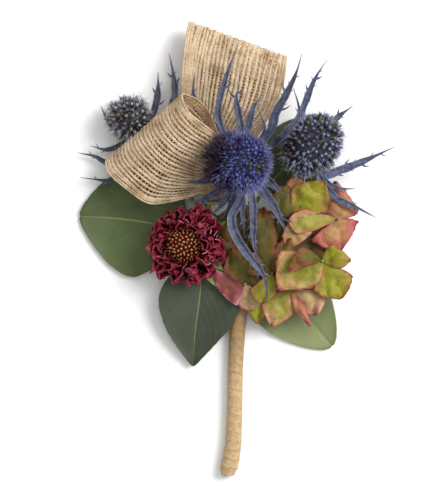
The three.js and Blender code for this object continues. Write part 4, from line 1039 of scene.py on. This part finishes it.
def bract_pieces(path, width, teeth, root, draw):
    """A keeled bract with its large teeth and small spines."""
    steps = 8 * len(path)
    line = smooth_line([root.lerp(Vector(path[0]), 0.12), *path], steps)
    ways = tangents(line)
    rows = []
    for k, (centre, way) in enumerate(zip(line, ways)):
        t = k / steps
        across = UP.cross(way).normalized()
        keel = way.cross(across).normalized()
        half = 0.48 * width * swell(t) * min(1, (1 - t) * 3.0 + 0.03)
        half *= 1 + 0.3 * noise.noise(centre * 0.3)
        rows.append([centre - across * s * half + keel * (0.3 * abs(s) - 0.14) * min(half, 1)
                     for s in (-1, -0.6, -0.25, 0, 0.25, 0.6, 1)])
    pieces = [curved_sheet("bract", rows, BRACT_THICK)]
    count = 2 * len(path)
    spines = [(0.2 + 0.66 * (i + draw.random() * 0.8) / count, 1 if i % 2 else -1,
               0.6 + 0.8 * draw.random()) for i in range(count)]
    for share, side, length in [*teeth, *spines]:
        k = round(share * steps)
        across = UP.cross(ways[k]).normalized()
        out = (ways[k] * 0.66 - across * side * 0.75).normalized()
        start = line[k] + (out * 0.34 * width - UP * 0.12) * swell(share)
        end = start + out * length + ways[k] * 0.3 * length
        thick = TOOTH_RADIUS if length > SPINE_LENGTH else SPINE_RADIUS
        spine = tube("tooth", smooth_line([start, start + out * length * 0.6, end], 5),
                     lambda t, w=thick: max(0.03, w * (1 - t) ** 0.8), 6, 0.55)
        if length <= SPINE_LENGTH:
            # Small spines have the colour of the bract's pale margin
            set_uv(spine, (0.0, 0.3))
        pieces.append(spine)
    return pieces


class SeaHollyRuffs(bpy.types.Operator):
    """Grows the spiny bracts and the stem under each sea holly head"""
    bl_idname = "boutonniere.sea_holly_ruffs"
    bl_label = "Sea Holly Ruffs"

    def execute(self, context):
        for flower in SEA_HOLLIES:
            name = flower["name"]
            tone, near = [linear(code) if code else settings().bract_colour
                          for code in flower["bract_colours"]]
            draw = random.Random(flower["seed"] + 1)
            pole = Vector(flower["axis"]).normalized()
            root = Vector(flower["centre"]) - pole * (flower["core"] * DOME_RISE + 0.3)
            low = root - pole
            pieces = []
            for path, width, teeth in flower["bracts"]:
                pieces += bract_pieces(path, width, teeth, low, draw)
            collar = [low - pole * 0.6, low + pole * 0.3, root - pole * 0.02]
            pieces.append(tube("collar", smooth_line(collar, 6), lambda t: 1.0 + 1.4 * t, 14))
            for piece, material in (
                    (join(f"sea_holly_{name}_bracts", pieces), bract_material(name, tone, near)),
                    (stem(f"sea_holly_{name}_stem", [low, *flower["stem"]], flower["bound"],
                          HOLLY_STEM), stem_material())):
                finish_piece(piece, material, flower["ruff_slot"], [f"sea_holly_{name}_ruff"])
        return {"FINISHED"}


def grid_frame(base, tip, roll=0.0):
    """The way across a blade and its normal, rolled about its length."""
    way = (tip - base).normalized()
    across = UP.cross(way).normalized()
    across.rotate(Quaternion(way, roll))
    return across, way.cross(across)


def finger_rows(base, tip, width):
    """Rows of places for a narrow green bract."""
    across, normal = grid_frame(base, tip)

    def place_at(t, side):
        s = 2 * side - 1
        spread = max(0.1, math.sin(math.pi * (0.04 + 0.94 * t) ** 0.8) ** 0.8)
        sag = 0.08 * (tip - base).length * t * (1 - t)
        return (base.lerp(tip, t) - across * s * spread * width * 0.5
                + normal * (0.1 * width * s * s * spread - sag))

    return grid_of(14, 6, place_at)


def frilled_rows(base, tip, width, curl, roll, phase):
    """Rows of places for a short petal whose end is cut into two lobes that curl up at their rims."""
    across, normal = grid_frame(base, tip, roll)

    def place_at(t, side):
        s = 2 * side - 1
        spread = 0.34 + 0.66 * t ** 0.6
        lobe = math.sin(math.pi * (2 * side % 1.0))
        reach = t * (1 - 0.2 * (1 - lobe) * t)
        lift = (0.22 * width * s * s * t + curl * t ** 3 * (0.5 * (1 - lobe) + 0.7 * lobe * t ** 3)
                + 0.35 * t * math.sin(phase + 6 * s) - 0.5 * math.sin(math.pi * t))
        place = base.lerp(tip, reach) - across * s * spread * width * 0.5 + normal * lift
        crinkle = [noise.noise(place * 0.55 + UP * shift) for shift in (0, 9, -9)]
        return place + Vector(crinkle) * PETAL_CRINKLE * t

    return grid_of(10, 14, place_at)


def sepal_edge(base, shoulder, tip, t):
    """A place on a sepal's edge, which bends fairly sharply at the shoulder, half way to the tip."""
    control = 2 * shoulder - base.lerp(tip, 0.5)
    rounded = base.lerp(control, t).lerp(control.lerp(tip, t), t)
    bent = base.lerp(shoulder, 2 * t) if t < 0.5 else shoulder.lerp(tip, 2 * t - 1)
    return rounded.lerp(bent, SEPAL_CORNER)


def sepal_rows(base, left, tip, right, phase):
    """Rows of places for a broad sepal: domed and crumpled as a whole, then creased and frayed."""
    def place_at(along, s):
        t = 0.04 + 0.94 * along
        start = sepal_edge(base, left, tip, t)
        end = sepal_edge(base, right, tip, t)
        place = start.lerp(end, s)
        fray = 0.05 * noise.noise(place * 0.9 + UP * phase) * abs(2 * s - 1) ** 4
        place += (start - end) * fray * (1 if s < 0.5 else -1)
        crease = 3.0 * abs(noise.noise(place * 0.22 + UP * phase * 3)) * math.sqrt(t)
        fine = 0.5 * noise.noise(place * 0.7) * t
        return place + UP * (
            SEPAL_DOME * 4 * s * (1 - s) * math.sin(math.pi * t)
            + SEPAL_CRUMPLE * t * math.sin(phase + 7 * s + 4 * t) + crease - 0.6 + fine)

    return grid_of(20, 18, place_at)


class HydrangeaCluster(bpy.types.Operator):
    """Opens the hydrangea florets on their stalks"""
    bl_idname = "boutonniere.hydrangea_cluster"
    bl_label = "Hydrangea Cluster"

    def execute(self, context):
        draw = random.Random(SEPAL_SEED)
        hub = Vector(HYDRANGEA_HUB)
        sepals, stalks = [], []
        for centre, sepals_here in FLORETS:
            middle = Vector(centre)
            for *corners, tone in sepals_here:
                rows = sepal_rows(middle, *[Vector(corner) for corner in corners], 6 * draw.random())
                sepal = curved_sheet("sepal", rows, SEPAL_THICK)
                inner, outer, border = [linear(code) for code in SEPAL_TONES[tone]]
                sepals.append(paint(sepal, middle=inner, outer=outer, border=border))
            drop = middle - UP * 1.4
            bend = hub.lerp(drop, 0.6) - UP * 0.8
            stalks.append(tube("pedicel", smooth_line([hub, bend, drop, middle], 14),
                               lambda t: PEDICEL_RADIUS, 7))
            stalks.append(primitive(bpy.ops.mesh.primitive_ico_sphere_add, subdivisions=2,
                                    radius=PEDICEL_RADIUS, location=middle + UP * 0.5))
        stalks.append(stem("stalk", [HYDRANGEA_HUB, *HYDRANGEA_STALK], 30, THIN_STEM))
        for name, pieces, material, slot in (
                ("hydrangea_sepals", sepals, sepal_material(), "sepal"),
                ("hydrangea_stalks", stalks, stem_material(), "green")):
            finish_piece(join(name, pieces), material, slot, ["hydrangea_cluster"])
        return {"FINISHED"}


class ScabiosaBloom(bpy.types.Operator):
    """Builds the scabiosa: frilled petals, the pincushion of buds, calyx and stem"""
    bl_idname = "boutonniere.scabiosa_bloom"
    bl_label = "Scabiosa Bloom"

    def execute(self, context):
        bloom = standing(Vector(SCABIOSA_CENTRE), Vector(SCABIOSA_AXIS))
        draw = random.Random(SCABIOSA_SEED)
        self.petals(bloom, draw)
        self.cushion(bloom, draw)
        self.calyx(bloom)
        return {"FINISHED"}

    def petals(self, bloom, draw):
        petals = []
        for n, (count, root, reach, width, low, high, curl) in enumerate(PETAL_RINGS):
            for i in range(count):
                angle = 2 * math.pi * (i + 0.5 * (n % 2) + 0.2 * draw.random()) / count
                out = Vector((math.cos(angle), math.sin(angle), 0))
                length = reach * (0.9 + 0.11 * draw.random())
                base = out * root + UP * low
                out = Matrix.Rotation(0.5 * (draw.random() - 0.5), 3, "Z") @ out
                tip = out * length + UP * (high + 0.8 * (draw.random() - 0.5))
                rows = frilled_rows(base, tip, width, curl * (0.6 + 0.8 * draw.random()),
                                    2.2 * (draw.random() - 0.5), 6.28 * draw.random())
                petals.append(curved_sheet("petal", rows, PETAL_THICK))
        petals.append(primitive(bpy.ops.mesh.primitive_cylinder_add, vertices=24, radius=3.6,
                                depth=5.2, location=(0, 0, 2.6)))
        crown = join("scabiosa_frilled_petals", petals)
        crown.data.transform(bloom)
        finish_piece(crown, petal_material(), "burgundy", ["scabiosa_petals"])

    def cushion(self, bloom, draw):
        bud = join("bud", [
            primitive(bpy.ops.mesh.primitive_cone_add, vertices=7, radius1=0.26, radius2=0.44,
                      depth=1.1, location=(0, 0, 0.55)),
            primitive(bpy.ops.mesh.primitive_uv_sphere_add, segments=7, ring_count=5, radius=0.42,
                      location=(0, 0, 1.1))])
        placements = []
        for i in range(DISC_BUDS):
            height = 1 - 0.95 * (i + 0.5) / DISC_BUDS
            out = golden_way(i, height, 0.72)
            out += Vector((draw.random() - 0.5, draw.random() - 0.5, 0)) * 0.09
            seat = out * DISC_RADIUS + UP * (DISC_SEAT - 0.3)
            placements.append((standing(seat, out + UP * 0.3)
                               @ Matrix.Scale(0.74 + 0.28 * draw.random(), 4),
                               max(0.0, 1.35 * height - 0.35) * (0.6 + 0.4 * draw.random())))
        buds = scattered("buds", bud, placements)
        dome = primitive(bpy.ops.mesh.primitive_uv_sphere_add, segments=24, ring_count=12,
                         radius=DISC_RADIUS * 0.96)
        for vertex in dome.data.vertices:
            vertex.co.z = max(0.0, vertex.co.z * 0.62) + DISC_SEAT
        set_uv(dome, (0.5, 0.05))
        disc = join("scabiosa_bud_cushion", [buds, dome])
        disc.data.transform(bloom)
        finish_piece(disc, bud_material(), "bud", ["scabiosa_disc"])

    def calyx(self, bloom):
        green = []
        for degrees, reach, rise, width in CALYX:
            angle = math.radians(degrees)
            out = Vector((math.cos(angle), math.sin(angle), 0))
            rows = finger_rows(bloom @ (out * 1.6 - UP * 1.2), bloom @ (out * reach + UP * rise), width)
            green.append(curved_sheet("finger", rows, BRACT_THICK))
        cup = [bloom @ Vector((0, 0, z)) for z in (-2.2, -1.6, -1.0, -0.35)]
        green.append(tube("cup", cup, lambda t: 0.9 + 2.0 * math.sin(1.57 * t), 20))
        green.append(stem("stem", [bloom @ Vector((0, 0, -1.8)), *SCABIOSA_STEM], 150, THIN_STEM))
        finish_piece(join("scabiosa_calyx_and_stem", green), stem_material(), "green",
                     ["scabiosa_stem"])


def ribbon_surface(left, right):
    """Places of both selvedges, the way across and the outward normals, step by step."""
    left, right = [[Vector(p) for p in side] for side in (left, right)]
    rims = [(spline_point(left, k / RIBBON_STEPS), spline_point(right, k / RIBBON_STEPS))
            for k in range(RIBBON_STEPS + 1)]
    rows = []
    for k, (a, b) in enumerate(rims):
        before, after = rims[max(k - 1, 0)], rims[min(k + 1, RIBBON_STEPS)]
        normals = [(b - a).cross(one - other).normalized() for one, other in zip(after, before)]
        rows.append((a, b, (b - a).normalized(), normals))
    return rows


def ribbon_place(row, share):
    """A place across the ribbon, its normal and how much of its full width it has there."""
    a, b, _, normals = row
    normal = normals[0].lerp(normals[1], share).normalized()
    fullness = min(1.0, (b - a).length / (RIBBON_WIDTH * 0.9))
    gather = (1 - fullness) * 0.5 * math.sin(2 * math.pi * 4 * share)
    return a.lerp(b, share) + normal * gather, normal, fullness


class Weave:
    """Gathers closed threads in one mesh, and for each point how much painted shade it gets for lying on
    the inner side.
    """

    def __init__(self, name):
        self.name = name
        self.vertices, self.faces, self.uv, self.inner = [], [], [], []

    def add_thread(self, stations, sides, inner_shade_at):
        """Each station is a centre, half the width, half the height and the length so far."""
        self.faces += tube_faces(len(stations), sides, len(self.vertices))
        for centre, wide, high, length in stations:
            for i in range(sides):
                angle = 2 * math.pi * i / sides
                self.vertices.append(centre + wide * math.cos(angle) + high * math.sin(angle))
                self.uv.append((i / sides, length / 10))
                self.inner.append(inner_shade_at(angle))

    def made(self):
        obj = mesh_object(self.name, self.vertices, self.faces, self.uv)
        # The inner colour attribute carries the painted shade inside the loop
        paint(obj, inner=[(value, value, value, 1.0) for value in self.inner])
        turn_outward(obj)
        return obj


def cord_stations(surface, lengths, share, half, sway):
    """The stations of a cord that runs along the ribbon at a share of its width."""
    stations = []
    for k, row in enumerate(surface):
        # The gaps between the cords lie elsewhere in the lower layer, past the fold
        fold = min(max(k / RIBBON_STEPS * 5 - 2, 0.0), 1.0)
        drift = LAYER_DRIFT * (fold * fold * (3 - 2 * fold) - 0.5) * (0.06 < share < 0.93)
        shift = share + 0.004 * math.sin(0.17 * k + sway) + drift
        centre, normal, fullness = ribbon_place(row, min(max(shift, 0.0), 1.0))
        slim = 0.35 + 0.65 * fullness
        plump = 1 + 0.1 * math.sin(0.9 * k + sway) * fullness
        stations.append((centre, row[2] * half * slim * plump, normal * CORD_HEIGHT * slim, lengths[k]))
    return stations


def weft_stations(surface, k, pick, samples):
    """The stations of a thread that crosses the ribbon at a step, over and under the cords."""
    way = (surface[min(k + 1, RIBBON_STEPS)][0] - surface[max(k - 1, 0)][0]).normalized()
    stations = []
    for j in range(samples + 1):
        share = 0.004 + 0.992 * j / samples
        centre, normal, fullness = ribbon_place(surface[k], share)
        over = 0.3 * math.cos(math.pi * (j / 2 + pick)) * (0.4 + 0.6 * fullness)
        stations.append((centre + normal * over, way * WEFT_WIDTH, normal * WEFT_HEIGHT,
                         share * RIBBON_WIDTH))
    return stations


class JuteBow(bpy.types.Operator):
    """Weaves the two jute ribbon loops of the bow"""
    bl_idname = "boutonniere.jute_bow"
    bl_label = "Jute Bow"

    def execute(self, context):
        cords = settings().jute_cords
        material = jute_material()
        for name, (left, right) in RIBBON_LOOPS.items():
            half, power = WEAVES[name]
            draw = random.Random(len(name))
            surface = ribbon_surface(left, right)
            middles = [row[0].lerp(row[1], 0.5) for row in surface]
            lengths = [0.0]
            for one, two in zip(middles, middles[1:]):
                lengths.append(lengths[-1] + (one - two).length)
            weave = Weave(f"jute_ribbon_{name}")
            # Selvedge cords lie close together, and the rest are a pitch apart
            near, far = SELVEDGE_CORDS
            inside = [0.085 + 0.83 * (i / (cords - 7)) ** power for i in range(cords - 6)]
            for share in [*near, *inside, *far]:
                sway = 6.28 * draw.random()
                wide = (half if 0.06 < share < 0.94 else SELVEDGE_HALF) * (0.78 + 0.44 * draw.random())
                # The side of each cord that faces into the loop gets painted shade
                weave.add_thread(cord_stations(surface, lengths, share, wide, sway), 6,
                                 lambda angle: 0.75 * max(0.0, -math.sin(angle)) ** 0.5)
            picks = int(lengths[-1] / settings().weft_pitch)
            wanted = [lengths[-1] * (pick + 0.3 * (draw.random() - 0.5)) / picks
                      for pick in range(1, picks)]
            places = [min(range(len(lengths)), key=lambda i: abs(lengths[i] - w)) for w in wanted]
            # The crossing threads crowd together where the ribbon turns back
            places += [k for k in range(*FOLD_STEPS) if k not in places]
            for pick, k in enumerate(places):
                # The crossing threads, which lie in the gaps, get a little painted shade all round
                weave.add_thread(weft_stations(surface, k, pick, 2 * cords), 4, lambda angle: 0.15)
            ribbon = weave.made()
            finish_piece(ribbon, material, "jute", [f"ribbon_loop_{name}"])
        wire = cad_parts["bow_wire"]
        wire.data.materials.clear()
        wire.data.materials.append(wire_material())
        return {"FINISHED"}


class StudioStage(bpy.types.Operator):
    """Lays the white floor and sets the lights and the camera"""
    bl_idname = "boutonniere.studio_stage"
    bl_label = "Studio Stage"

    def execute(self, context):
        scene = context.scene
        floor = primitive(bpy.ops.mesh.primitive_plane_add, size=FLOOR_SIZE)
        floor.name = "paper_sweep"
        floor.data.materials.append(floor_material())
        world = bpy.data.worlds.new("studio_air")
        world.use_nodes = True
        background = world.node_tree.nodes["Background"]
        background.inputs["Color"].default_value = WHITE
        background.inputs["Strength"].default_value = AIR_STRENGTH
        scene.world = world
        for name, place, size, power in LAMPS:
            lamp = bpy.data.lights.new(name, "AREA")
            lamp.size = size
            lamp.energy = power
            holder = bpy.data.objects.new(name, lamp)
            holder.location = place
            holder.rotation_euler = (-Vector(place)).to_track_quat("-Z", "Y").to_euler()
            scene.collection.objects.link(holder)
        lens = bpy.data.cameras.new("picture_camera")
        lens.sensor_fit = "AUTO"
        lens.sensor_width = 36.0
        lens.lens = lens.sensor_width * (CAMERA_HEIGHT - FLOWER_HEIGHT) / FRAME_HEIGHT
        lens.clip_start = 0.01
        camera = bpy.data.objects.new("picture_camera", lens)
        camera.location = (*FRAME_MIDDLE, CAMERA_HEIGHT)
        scene.collection.objects.link(camera)
        scene.camera = camera
        scene.view_settings.view_transform = "Standard"
        return {"FINISHED"}


STEPS = (TapeWrap, EucalyptusSprig, SeaHollyHeads, SeaHollyRuffs, HydrangeaCluster, ScabiosaBloom,
         JuteBow, StudioStage)


class BoutonnierePanel(bpy.types.Panel):
    """Lists the settings and the steps"""
    bl_idname = "VIEW3D_PT_boutonniere"
    bl_label = "Boutonniere"
    bl_space_type = "VIEW_3D"
    bl_region_type = "UI"
    bl_category = "Boutonniere"

    def draw(self, context):
        for name in BoutonniereSettings.__annotations__:
            self.layout.prop(context.scene.boutonniere, name)
        for step in STEPS:
            self.layout.operator(step.bl_idname)


def register():
    for each in (BoutonniereSettings, *STEPS, BoutonnierePanel):
        bpy.utils.register_class(each)
    bpy.types.Scene.boutonniere = PointerProperty(type=BoutonniereSettings)


def unregister():
    del bpy.types.Scene.boutonniere
    for each in (BoutonnierePanel, *reversed(STEPS), BoutonniereSettings):
        bpy.utils.unregister_class(each)


def main():
    register()
    for step in STEPS:
        group, name = step.bl_idname.split(".")
        getattr(getattr(bpy.ops, group), name)()


if __name__ == "__main__":
    main()
